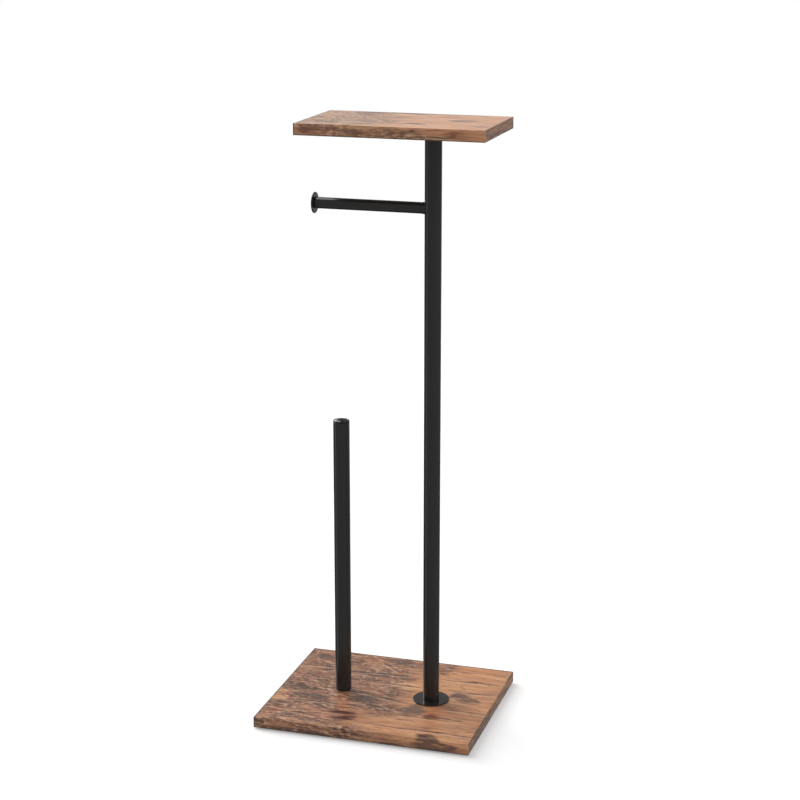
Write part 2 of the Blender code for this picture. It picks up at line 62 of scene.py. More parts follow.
SOLID_CREASE = math.radians(35)
LOFT_CREASE = math.radians(32)
MIX_A, MIX_B, MIX_RESULT = 6, 7, 2

Material = bpy.types.Material
Tree = bpy.types.NodeTree
Socket = bpy.types.NodeSocket
Value = float | tuple[float, ...] | Socket
AddNode = Callable[..., Socket]

log = logging.getLogger("holder")


def colour(hex_code: str) -> tuple[float, float, float, float]:
    """Turns an sRGB hex value into a linear colour.

    Args:
        hex_code: six hex digits after a number sign.

    Returns:
        Linear red, green and blue, and a full alpha.
    """
    levels = [int(hex_code[i : i + 2], 16) / 255 for i in (1, 3, 5)]
    linear = [c / 12.92 if c <= 0.04045 else ((c + 0.055) / 1.055) ** 2.4 for c in levels]
    return (*linear, 1.0)


def add_node(
    tree: Tree,
    kind: str,
    inputs: dict[int | str, Value] | None = None,
    out: int | str = 0,
    **settings: object,
) -> Socket | None:
    """Adds a node with its settings, and sets or links its inputs.

    Args:
        tree: the node tree that gets the node.
        kind: the node's type name, without the words ShaderNode that most start with.
        inputs: a value, or another node's output, for each input named or numbered.
        out: the output that is wanted.
        settings: the node's own attributes.

    Returns:
        The wanted output, or None from a node without outputs.
    """
    node = tree.nodes.new(kind if kind.startswith("NodeGroup") else "ShaderNode" + kind)
    for name, setting in settings.items():
        setattr(node, name, setting)
    for key, value in (inputs or {}).items():
        if isinstance(value, Socket):
            tree.links.new(value, node.inputs[key])
        else:
            node.inputs[key].default_value = value
    return node.outputs[out] if len(node.outputs) else None


def lay_colours(
    add: AddNode, ground: str | Socket, layers: Sequence[tuple[Sequence[Socket], str | Socket, float]]
) -> Socket:
    """Lays colours over a ground, one after another.

    Args:
        add: adds a node to the tree.
        ground: the lowest colour.
        layers: for each colour the masks that multiply to its strength, the colour, and its full cover.

    Returns:
        The colour that shows.
    """
    shown = colour(ground) if isinstance(ground, str) else ground
    for masks, over, cover in layers:
        share: Value = cover
        for mask in masks:
            share = add("Math", {0: mask, 1: share}, operation="MULTIPLY")
        over = colour(over) if isinstance(over, str) else over
        mix = {"Factor": share, MIX_A: shown, MIX_B: over}
        shown = add("Mix", mix, MIX_RESULT, data_type="RGBA")
    return shown


def new_material(name: str) -> tuple[Material, AddNode]:
    """Makes a material with an empty node tree.

    Args:
        name: the material's name.

    Returns:
        The material, and the function that adds a node to its tree.
    """
    material = bpy.data.materials.new(name)
    material.use_nodes = True
    material.node_tree.nodes.clear()
    return material, partial(add_node, material.node_tree)


def add_object(name: str, data: bpy.types.ID) -> bpy.types.Object:
    """Puts a new object in the scene.

    Args:
        name: the object's name.
        data: its mesh, light or camera.

    Returns:
        The object.
    """
    thing = bpy.data.objects.new(name, data)
    bpy.context.scene.collection.objects.link(thing)
    return thing


def box_mm(node: str) -> tuple[Vector, Vector, Vector]:
    """Reads where a solid of the frame is.

    Args:
        node: the solid's name.

    Returns:
        Its lowest corner, middle and highest corner, in millimetres.
    """
    low, high = (corner * MM_PER_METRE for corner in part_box(node))
    return low, (low + high) / 2, high


class Side(Enum):
    """A board's faces: how far the sheet is turned for each, in degrees, and which way it runs on down it.

    The print runs on over the front and back. The end bands are cut from a strip whose grain runs along them.
    """

    FACE = (0.0, 0.0)
    FRONT = (0.0, -1.5)
    BACK = (0.0, 1.5)
    LEFT = (90.0, -2.2)
    RIGHT = (-90.0, -2.2)


class Grain(Enum):
    """The noises of the print.

    Each gives the length and width of a cell in millimetres, the noise levels that become 0 and 1, how many
    finer layers it has, and a shift that makes its pattern its own.
    """

    RIDGES = (74.0, 12.0, 0.0, 1.0, 4.0, 3.0)
    FIELDS = (64.0, 26.0, 0.35, 0.65, 3.0, 5.0)
    FRAY = (20.0, 8.0, 0.28, 0.72, 4.0, 7.0)
    BOTTOM_SHADE = (22.0, 30.0, 0.30, 0.62, 3.0, 9.0)
    LEVELS = (140.0, 21.0, 0.0, 1.0, 2.0, 11.0)
    BREAKS = (48.0, 14.0, 0.45, 0.60, 2.0, 13.0)
    WASH = (64.0, 17.0, 0.46, 0.78, 3.0, 17.0)
    PORES = (15.0, 4.6, 0.60, 0.69, 2.0, 19.0)
    STREAKS = (70.0, 4.0, 0.30, 0.70, 3.0, 23.0)
    ASH = (30.0, 8.0, 0.30, 0.62, 3.0, 29.0)
    PATCHES = (46.0, 22.0, 0.28, 0.72, 4.0, 31.0)
    COVER = (40.0, 18.0, 0.30, 0.55, 3.0, 37.0)
    WEAR = (22.0, 14.0, 0.28, 0.50, 3.0, 41.0)
    BLOTCHES = (30.0, 13.0, 0.46, 0.66, 3.0, 43.0)
    FLECKS = (8.0, 5.0, 0.54, 0.66, 2.0, 47.0)
    # The real grain lines are near 0.3 mm across, and are drawn at 0.9 mm so that they show
    LINES = (26.0, 0.9, 0.32, 0.72, 2.0, 53.0)


@dataclass(frozen=True)
class Mark:
    """A mark in the print. Millimetres from the board's middle: u along it, v from front to back."""

    u: float
    v: float
    length: float
    width: float
    tilt: float = 0.0
    most: float = 1.0


@dataclass(frozen=True)
class PrintRoller:
    """The engraved roller that prints the paper: it draws marks, grain and relief in one node tree.

    Places and sizes are in millimetres on the sheet, and strengths run from 0 to 1.
    """

    add: AddNode
    shift: float
    tearing: tuple[float, float] = (0.35, 1.65)
    shred: tuple[float, float] = (16.0, 8.0)
    shred_lean: float = 0.08
    light_step: tuple[float, float] = (0.9, 1.7)
    split_core: float = 0.3
    hairline: tuple[float, float] = (0.026, 0.004)
    hairline_strength: float = 0.6

    def marks(self, place: Socket, marks: Sequence[Mark], core: float) -> Value:
        """Draws marks as long ovals that fade to nothing at their rims.

        Args:
            place: the place on the sheet.
            marks: the marks to draw.
            core: the share of a mark's radius that has its full strength.

        Returns:
            The strength of the strongest mark at each place.
        """
        strongest: Value = 0.0
        for mark in marks:
            oval = {
                "Vector": place,
                "Location": (mark.u, mark.v, 0.0),
                "Rotation": (0.0, 0.0, math.radians(mark.tilt)),
                "Scale": (mark.length / 2, mark.width / 2, 1.0),
            }
            local = self.add("Mapping", oval, vector_type="TEXTURE")
            radius = self.add("VectorMath", {0: local}, "Value", operation="LENGTH")
            fade = {"Value": radius, "From Min": 1.0, "From Max": core, "To Max": mark.most}
            strength = self.add("MapRange", fade, interpolation_type="SMOOTHSTEP")
            strongest = self.add("Math", {0: strength, 1: strongest}, operation="MAXIMUM")
        return strongest

    def grain(self, place: Socket, grain: Grain) -> Socket:
        """Draws noise whose cells have a real size, and stretches its contrast.

        Args:
            place: the place on the sheet.
            grain: which noise it is.

        Returns:
            The noise.
        """
        length, width, low, high, detail, seed = grain.value
        scale, start = (1 / length, 1 / width, 1.0), (seed, -seed, self.shift)
        scaled = self.add("Mapping", {"Vector": place, "Location": start, "Scale": scale})
        noise = self.add("TexNoise", {"Vector": scaled, "Scale": 1.0, "Detail": detail})
        return self.add("MapRange", {"Value": noise, "From Min": low, "From Max": high})

    def tear(self, marks: Value, fray: Socket, rim: tuple[float, float]) -> Socket:
        """Tears the rims of marks, so that they end in shreds.

        Args:
            marks: the soft marks.
            fray: the noise that tears them.
            rim: the strengths that become 0 and 1.

        Returns:
            The torn marks.
        """
        least, most = self.tearing
        share = self.add("MapRange", {"Value": fray, "To Min": least, "To Max": most})
        torn = self.add("Math", {0: share, 1: marks}, operation="MULTIPLY")
        return self.add("MapRange", {"Value": torn, "From Min": rim[0], "From Max": rim[1]})

    def bend(self, place: Socket, size: tuple[float, float], reach: tuple[float, float]) -> Socket:
        """Bends the sheet, as real figure wanders.

        Args:
            place: the place on the flat sheet.
            size: the length and width of one bend.
            reach: how far it moves along and across the grain.

        Returns:
            The place on the bent sheet.
        """
        scale, start = (1 / size[0], 1 / size[1], 1.0), (0.0, 0.0, self.shift)
        scaled = self.add("Mapping", {"Vector": place, "Location": start, "Scale": scale})
        noise = self.add("TexNoise", {"Vector": scaled, "Scale": 1.0, "Detail": 2.0}, "Color")
        centred = self.add("VectorMath", {0: noise, 1: (0.5, 0.5, 0.5)}, operation="SUBTRACT")
        moved = {0: centred, 1: (*reach, 0.0), 2: place}
        return self.add("VectorMath", moved, operation="MULTIPLY_ADD")

    def relief(self, place: Socket, weather: Socket) -> Socket:
        """Draws the height of the old wood: calm long ridges, and short torn ones where it is weathered.

        Args:
            place: the place on the sheet.
            weather: how weathered it is there.

        Returns:
            The height, about 0 to 1.
        """
        calm = self.grain(place, Grain.RIDGES)
        scale, lean = (1 / self.shred[0], 1 / self.shred[1], 1.0), (0.0, 0.0, self.shred_lean)
        leaning = self.add("Mapping", {"Vector": place, "Rotation": lean, "Scale": scale})
        shreds = {"Vector": leaning, "Scale": 1.0, "Detail": 6.0, "Roughness": 0.64, "Distortion": 0.5}
        torn = self.add("TexNoise", shreds)
        return self.add("Mix", {0: weather, 2: calm, 3: torn}, data_type="FLOAT")

    def pictured_relief(self, place: Socket, weather: Socket) -> Socket:
        """Draws the light on the relief as the print pictures it: its slope, towards the front.

        Args:
            place: the place on the sheet.
            weather: how weathered it is there.

        Returns:
            The slope, below 0 in the shade and above 0 in the light.
        """
        step = (*self.light_step, 0.0)
        behind, before = (
            self.relief(self.add("VectorMath", {0: place, 1: step}, operation=way), weather)
            for way in ("ADD", "SUBTRACT")
        )
        return self.add("Math", {0: behind, 1: before}, operation="SUBTRACT")

    def splits(self, bent: Socket, ragged: Socket, marks: Sequence[Mark]) -> Socket:
        """Draws the long splits, and finer ones along the level lines of a stretched noise.

        Args:
            bent: the place on the gently bent sheet.
            ragged: the place on the closely bent sheet.
            marks: the long splits.

        Returns:
            How strong the split is.
        """
        level = self.grain(ragged, Grain.LEVELS)
        off = self.add("Math", {0: level, 1: 0.5}, operation="SUBTRACT")
        away = self.add("Math", {0: off}, operation="ABSOLUTE")
        edge, core = self.hairline
        line = {"Value": away, "From Min": edge, "From Max": core, "To Max": self.hairline_strength}
        fine = self.add("MapRange", line)
        strongest: Value = 0.0
        for drawn, wear in (
            (self.marks(bent, marks, self.split_core), self.grain(bent, Grain.WEAR)),
            (fine, self.grain(ragged, Grain.BREAKS)),
        ):
            worn = self.add("Math", {0: drawn, 1: wear}, operation="MULTIPLY")
            strongest = self.add("Math", {0: worn, 1: strongest}, operation="MAXIMUM")
        return strongest


@dataclass(frozen=True)
class RusticOakPaper:
    """Chipboard faced with melamine paper: a printed rustic oak, pressed with an embossed plate.

    It gives the eye a warm tan ground under long grain, dark splits with a painted highlight along their lower
    edge, smoky grey-brown stains, and a weathered part full of torn fibres. The light and shade on the relief
    are painted in the print, and the relief is pressed into it.
    The resin is a dull satin, and at a low angle it reflects the room and looks paler.
    """

    stains: tuple[Mark, ...]
    splits: tuple[Mark, ...]
    weathered: tuple[Mark, ...]
    reds: tuple[Mark, ...]
    greys: tuple[Mark, ...]
    scorches: tuple[Mark, ...]
    bare: tuple[Mark, ...]
    shift: float
    gentle_bend: tuple[tuple[float, float], ...] = ((60.0, 24.0), (15.0, 9.0))
    close_bend: tuple[tuple[float, float], ...] = ((15.0, 7.0), (7.0, 3.4))
    tan: str = "#d39b6c"
    orange: str = "#c4835a"
    rose: str = "#8e5c48"
    umber: str = "#98634b"
    bark: str = "#6c402e"
    red: str = "#a4583c"
    smoke: str = "#5f4238"
    grey: str = "#664c3c"
    scorch: str = "#4b1d12"
    split_and_shade_brown: str = "#3f291f"
    fibre_and_highlight: str = "#e6bd9a"
    ash: str = "#4c392a"
    # A pale wash laid over the sides, and how much of it
    dust: str = "#d8ab8e"
    side_wash_cover: float = 0.04
    # Painted light: how much lighter the sides are printed than the face
    painted_side_light: float = 1.14
    carving: float = 0.66
    ash_cover: float = 0.7
    satin: tuple[float, float] = (0.39, 0.29)
    emboss: float = 0.30
    split_depth: float = 0.6
    skin: float = 0.05
    lip_highlight_offset: float = 3.4
    stain_rim: tuple[float, float] = (0.38, 0.85)

    def sheet(self, name: str) -> Tree:
        """Builds the printed sheet as a node group.

        Args:
            name: the group's name.

        Returns:
            A group that turns a place, and how far down a side it is, into a colour, height and roughness.
        """
        tree = bpy.data.node_groups.new(name, "ShaderNodeTree")
        for way, sockets in (
            ("INPUT", {"Place": "Vector", "Drop": "Float"}),
            ("OUTPUT", {"Colour": "Color", "Height": "Float", "Roughness": "Float"}),
        ):
            for socket, kind in sockets.items():
                tree.interface.new_socket(socket, in_out=way, socket_type="NodeSocket" + kind)
        add = partial(add_node, tree)
        roller = PrintRoller(add, self.shift)
        place = add("NodeGroupInput", out="Place")
        drop = place.node.outputs["Drop"]
        bent = roller.bend(place, *self.gentle_bend)
        ragged = roller.bend(bent, *self.close_bend)

        soft = roller.marks(ragged, self.weathered, 0.35)
        worn = roller.tear(soft, roller.grain(ragged, Grain.PATCHES), (0.15, 0.95))
        cover = roller.grain(ragged, Grain.COVER)
        weather = add("Math", {0: worn, 1: cover}, operation="MULTIPLY")
        fray = roller.grain(ragged, Grain.FRAY)
        stain, dulled, scorched, shown = (
            roller.tear(roller.marks(ragged, marks, core), fray, rim)
            for marks, core, rim in (
                (self.stains, 0.3, self.stain_rim),
                (self.greys, 0.3, (0.1, 0.85)),
                (self.scorches, 0.1, (0.2, 0.9)),
                (self.bare, 0.4, (0.12, 0.6)),
            )
        )
        smooth = stain
        for mask in (dulled, scorched):
            smooth = add("Math", {0: smooth, 1: mask}, operation="MAXIMUM")
        soaked = add("MapRange", {"Value": smooth, "To Min": 1.0, "To Max": 0.4})
        carved = add("MapRange", {"Value": weather, "To Min": 0.2})
        slope = roller.pictured_relief(ragged, weather)
        lit = add("MapRange", {"Value": slope, "From Min": 0.01, "From Max": 0.09})
        shaded = add("MapRange", {"Value": slope, "From Min": -0.01, "From Max": -0.09})
        split = roller.splits(bent, ragged, self.splits)
        # The splits moved back, which places the painted highlight along their lower edge
        behind = add("VectorMath", {0: bent, 1: (0.0, self.lip_highlight_offset, 0.0)}, operation="ADD")
        low = add("MapRange", {"Value": drop, "From Min": 0.35})
        aside = add("MapRange", {"Value": drop, "From Min": 0.02, "From Max": 0.1})

        layers = (
            ((roller.grain(ragged, Grain.FIELDS),), self.orange, 0.9),
            ((roller.grain(ragged, Grain.WASH),), self.rose, 0.7),
            ((worn,), self.umber, 0.7),
            ((weather,), self.bark, 0.7),
            ((shown,), self.tan, 0.9),
            ((roller.marks(ragged, self.reds, 0.0),), self.red, 0.75),
            ((dulled,), self.grey, 0.9),
            ((stain,), self.smoke, 0.9),
            ((scorched,), self.scorch, 0.9),
            ((shaded, carved, soaked), self.split_and_shade_brown, self.carving),
            ((lit, carved, soaked), self.fibre_and_highlight, self.carving * 0.8),
            ((roller.grain(ragged, Grain.BLOTCHES), weather), self.split_and_shade_brown, self.carving * 0.9),
            ((roller.grain(ragged, Grain.FLECKS), soaked, worn), self.fibre_and_highlight, 0.55),
            # Painted highlight along the lower edge of each split
            ((roller.marks(behind, self.splits, 0.1),), self.fibre_and_highlight, 0.45),
            ((roller.grain(ragged, Grain.PORES),), self.split_and_shade_brown, 0.5),
            ((split,), self.split_and_shade_brown, 0.88),
            # Painted shade: each side darkens towards its bottom
            ((low, roller.grain(place, Grain.BOTTOM_SHADE)), self.split_and_shade_brown, 0.4),
            # A pale wash over the sides
            ((aside,), self.dust, self.side_wash_cover),
        )
        printed = lay_colours(add, self.tan, layers)
        streaks = roller.grain(bent, Grain.STREAKS)
        tone: Value = 1.0
        for mask, first, last in (
            (streaks, 0.92, 1.07),
            (roller.grain(ragged, Grain.LINES), 1.11, 0.89),
            # Painted light: the sides are made lighter than the face
            (aside, 1.0, self.painted_side_light),
        ):
            factor = add("MapRange", {"Value": mask, "To Min": first, "To Max": last})
            tone = add("Math", {0: factor, 1: tone}, operation="MULTIPLY")
        inked = add("VectorMath", {0: printed, "Scale": tone}, operation="SCALE")

        sunk = {0: split, 1: -self.split_depth, 2: roller.relief(ragged, weather)}
        height = add("Math", sunk, operation="MULTIPLY_ADD")
        rough = add("MapRange", {"Value": streaks, "To Min": self.satin[0], "To Max": self.satin[1]})
        add("NodeGroupOutput", {"Colour": inked, "Height": height, "Roughness": rough})
        return tree


class Finish(ABC):
    """A finish. Each one draws its own surface, and this class makes the material of it."""

    @abstractmethod
    def surface(self, add: AddNode, position: Socket) -> dict[str, Value]:
        """Draws the surface.

        Args:
            add: adds a node to the material's tree.
            position: the place on the piece, in metres.

        Returns:
            The shader's inputs.
        """

    def material(self, name: str) -> Material:
        """Builds the material.

        Args:
            name: the material's name.

        Returns:
            The material.
        """
        material, add = new_material(name)
        position = add("TexCoord", out="Object")
        shader = add("BsdfPrincipled", self.surface(add, position))
        add("OutputMaterial", {"Surface": shader})
        return material


@dataclass(frozen=True)
class RawChipboard:
    """Particle board, cut: the pale wood chips and resin that show inside drilled holes.

    It gives the eye straw-coloured chips a few millimetres long, with darker glue between them.
    """

    straw: str = "#c2a277"
    glue: str = "#7c5f41"
    chip: float = 2.6

    def tone(self, add: AddNode, position: Socket) -> Socket:
        """Draws the chips.

        Args:
            add: adds a node to the material's tree.
            position: the place on the piece, in metres.

        Returns:
            The colour.
        """
        cells = {"Vector": position, "Scale": MM_PER_METRE / self.chip}
        shade = add("SeparateXYZ", {0: add("TexVoronoi", cells, "Color")})
        return lay_colours(add, self.straw, [((shade,), self.glue, 1.0)])


@dataclass(frozen=True)
class FacedSide(Finish):
    """The printed sheet on one side of a board.

    It gives the eye the print running on over the sides, a painted shade line along the bands' edges on the
    left, the back and below, and raw chipboard where the board is drilled.
    """

    paper: RusticOakPaper
    sheet: Tree
    low: Vector
    high: Vector
    side: Side

    def surface(self, add: AddNode, position: Socket) -> dict[str, Value]:
        """Lays the sheet, and draws what lies over it.

        Args:
            add: adds a node to the material's tree.
            position: the place on the piece, in metres.

        Returns:
            The shader's inputs.
        """
        paper, thickness, middle = self.paper, self.high.z - self.low.z, (self.low + self.high) / 2
        turn, run = self.side.value
        level = add("SeparateXYZ", {0: position}, "Z")
        drop = add("Math", {0: self.high.z, 1: level}, operation="SUBTRACT")
        centred = add("VectorMath", {0: position, 1: middle}, operation="SUBTRACT")
        turned = add("Mapping", {"Vector": centred, "Rotation": (0.0, 0.0, math.radians(turn))})
        down = add("VectorMath", {0: (0.0, run, 0.0), "Scale": drop}, operation="SCALE")
        wrapped = add("VectorMath", {0: turned, 1: down}, operation="ADD")
        flat = {0: wrapped, 1: (MM_PER_METRE, MM_PER_METRE, 0.0)}
        place = add("VectorMath", flat, operation="MULTIPLY")
        fall = 0.0 if self.side is Side.FACE else 1 / thickness
        share = add("Math", {0: drop, 1: fall}, operation="MULTIPLY")
        printed = add("Group", {"Place": place, "Drop": share}, "Colour", node_tree=self.sheet)
        layers = []
        if self.side is Side.FACE:
            away = add("Math", {0: level, 1: middle.z}, operation="SUBTRACT")
            depth = add("Math", {0: away}, operation="ABSOLUTE")
            under = thickness / 2 - paper.skin * MM
            cut = add("Math", {0: depth, 1: under}, operation="LESS_THAN")
            layers.append(((cut,), RawChipboard().tone(add, position), 1.0))
        if self.side in (Side.LEFT, Side.RIGHT):
            clouds = PrintRoller(add, paper.shift).grain(place, Grain.ASH)
            layers.append(((clouds,), paper.ash, paper.ash_cover))
        # Painted shade: a dark line along the edges on the left, the back and below; the lowest is a painted
        # contact shadow
        layers.append(((self.painted_edge_shade(add, position),), paper.split_and_shade_brown, 1.0))
        outputs = printed.node.outputs
        pressed = {"Height": outputs["Height"], "Distance": paper.emboss * MM, "Strength": 1.0}
        return {
            "Base Color": lay_colours(add, printed, layers),
            "Roughness": outputs["Roughness"],
            "Normal": add("Bump", pressed),
        }

    def painted_edge_shade(self, add: AddNode, position: Socket) -> Socket:
        """Draws a painted shade line along the bands' edges on the left, the back and below.

        Args:
            add: adds a node to the material's tree.
            position: the place on the piece, in metres.

        Returns:
            How dark the line is, from 0 to 1.
        """
        along = add("SeparateXYZ", {0: position}).node.outputs
        darkest: Value = 0.0
        for axis, edge, width, most in (
            ("X", self.low.x, 2.0 * MM, 0.85),
            ("Y", self.high.y, -3.0 * MM, 0.7),
            ("Z", self.low.z, 1.8 * MM, 0.7),
        ):
            start, full = edge + width, edge + width * 0.6
            edge_shade_ramp = {"Value": along[axis], "From Min": start, "From Max": full, "To Max": most}
            line = add("MapRange", edge_shade_ramp)
            darkest = add("Math", {0: line, 1: darkest}, operation="MAXIMUM")
        return darkest


@dataclass(frozen=True)
class BlackPowderCoat(Finish):
    """Polyester powder coat, sprayed on steel tube and baked: black, semi-gloss.

    It gives the eye a near-black skin whose reflections are soft-edged and very slightly rippled, because the
    powder flows out into a fine orange peel.
    """

    coat: str = "#282828"
    roughness: tuple[float, float] = (0.11, 0.19)
    haze: float = 28.57
    peel: float = 1.4
    peel_depth: float = 0.004

    def surface(self, add: AddNode, position: Socket) -> dict[str, Value]:
        """Draws the peel and the haze.

        Args:
            add: adds a node to the material's tree.
            position: the place on the piece, in metres.

        Returns:
            The shader's inputs.
        """
        # Real orange peel is near 1 mm across, and is drawn a little coarser so that it shows
        peel = add("TexNoise", {"Vector": position, "Scale": MM_PER_METRE / self.peel, "Detail": 1.0})
        haze = add("TexNoise", {"Vector": position, "Scale": MM_PER_METRE / self.haze, "Detail": 3.0})
        gloss = {"Value": haze, "To Min": self.roughness[0], "To Max": self.roughness[1]}
        relief = {"Height": peel, "Distance": self.peel_depth * MM, "Strength": 1.0}
        return {
            "Base Color": colour(self.coat),
            "Roughness": add("MapRange", gloss),
            "IOR": 1.5,
            "Normal": add("Bump", relief),
        }


@dataclass(frozen=True)
class MouldedCapPlastic(Finish):
    """Polyethylene, injection moulded in a polished mould: black and glossy.

    It gives the eye a deep black skin with clear reflections, dulled here and there by handling. The mould's
    polish leaves a faint waviness.
    """

    pigment: str = "#101011"
    roughness: tuple[float, float] = (0.07, 0.19)
    smear: float = 3.846
    smear_levels: tuple[float, float] = (0.5, 0.8)
    wave: float = 3.0
    wave_depth: float = 0.004

    def surface(self, add: AddNode, position: Socket) -> dict[str, Value]:
        """Draws the scuffs and the waviness.

        Args:
            add: adds a node to the material's tree.
            position: the place on the piece, in metres.

        Returns:
            The shader's inputs.
        """
        patches = {"Vector": position, "Scale": MM_PER_METRE / self.smear, "Detail": 4.0}
        scuffed = {
            "Value": add("TexNoise", patches),
            "From Min": self.smear_levels[0],
            "From Max": self.smear_levels[1],
            "To Min": self.roughness[0],
            "To Max": self.roughness[1],
        }
        wave = add("TexNoise", {"Vector": position, "Scale": MM_PER_METRE / self.wave})
        relief = {"Height": wave, "Distance": self.wave_depth * MM, "Strength": 1.0}
        return {
            "Base Color": colour(self.pigment),
            "Roughness": add("MapRange", scuffed),
            "IOR": 1.52,
            "Normal": add("Bump", relief),
        }


@dataclass(frozen=True)
class PadFoam(Finish):
    """EVA foam, die-cut from sheet: matt charcoal.

    It gives the eye a dull skin with the open cells of the cut, which catch a little dust.
    """

    foam: str = "#232323"
    dust: str = "#3d3b38"
    roughness: float = 0.88
    dust_patch: float = 5.6
    cell: float = 0.7
    cell_depth: float = 0.08

    def surface(self, add: AddNode, position: Socket) -> dict[str, Value]:
        """Draws the cells and the dust in them.

        Args:
            add: adds a node to the material's tree.
            position: the place on the piece, in metres.

        Returns:
            The shader's inputs.
        """
        # Real cells are near 0.3 mm, and are drawn at 0.7 mm so that they show
        cells = add("TexVoronoi", {"Vector": position, "Scale": MM_PER_METRE / self.cell}, "Distance")
        patch = MM_PER_METRE / self.dust_patch
        dusty = add("TexNoise", {"Vector": position, "Scale": patch, "Detail": 3.0})
        relief = {"Height": cells, "Distance": self.cell_depth * MM, "Strength": 0.8}
        return {
            "Base Color": lay_colours(add, self.foam, [((cells, dusty), self.dust, 1.0)]),
            "Roughness": self.roughness,
            "Normal": add("Bump", relief),
        }


@dataclass(frozen=True)
class ZincPlate(Finish):
    """Mild steel, electroplated with zinc and passivated blue.

    It gives the eye a cool grey metal, satin rather than bright, with faint yellow and blue clouds from the
    passivation.
    """

    cool: str = "#b9bfc6"
    warm: str = "#c9c6b8"
    roughness: tuple[float, float] = (0.22, 0.40)
    cloud: float = 4.2
    grit: float = 0.4
    grit_depth: float = 0.006

    def surface(self, add: AddNode, position: Socket) -> dict[str, Value]:
        """Draws the clouds and the crystals.

        Args:
            add: adds a node to the material's tree.
            position: the place on the piece, in metres.

        Returns:
            The shader's inputs.
        """
        patches = {"Vector": position, "Scale": MM_PER_METRE / self.cloud, "Detail": 3.0}
        clouds = {"Value": add("TexNoise", patches), "From Min": 0.4, "From Max": 0.65}
        yellowed = add("MapRange", clouds)
        # The crystals of the plating are far below 0.1 mm, and are drawn at 0.4 mm so that they show
        grit = add("TexNoise", {"Vector": position, "Scale": MM_PER_METRE / self.grit})
        satin = {"Value": grit, "To Min": self.roughness[0], "To Max": self.roughness[1]}
        relief = {"Height": grit, "Distance": self.grit_depth * MM, "Strength": 1.0}
        return {
            "Base Color": lay_colours(add, self.cool, [((yellowed,), self.warm, 1.0)]),
            "Metallic": 1.0,
            "Roughness": add("MapRange", satin),
            "Normal": add("Bump", relief),
        }


@dataclass(frozen=True)
class Panel:
    """A light panel on the walls round the object.

    Its compass point and half its width are in degrees clockwise from the back, its bottom and top are sines
    of the elevation.
    """

    compass: float
    half_width: float
    blur: float
    bottom: float
    top: float
    strength: float


@dataclass(frozen=True)
class SkyPanel:
    """A far panel light, which lights every spot alike.

    It hangs in the direction given, looks so many degrees wide from the object, and its power is in watts on
    each square metre.
    """

    name: str
    towards: tuple[float, float, float]
    spread: float
    power: float


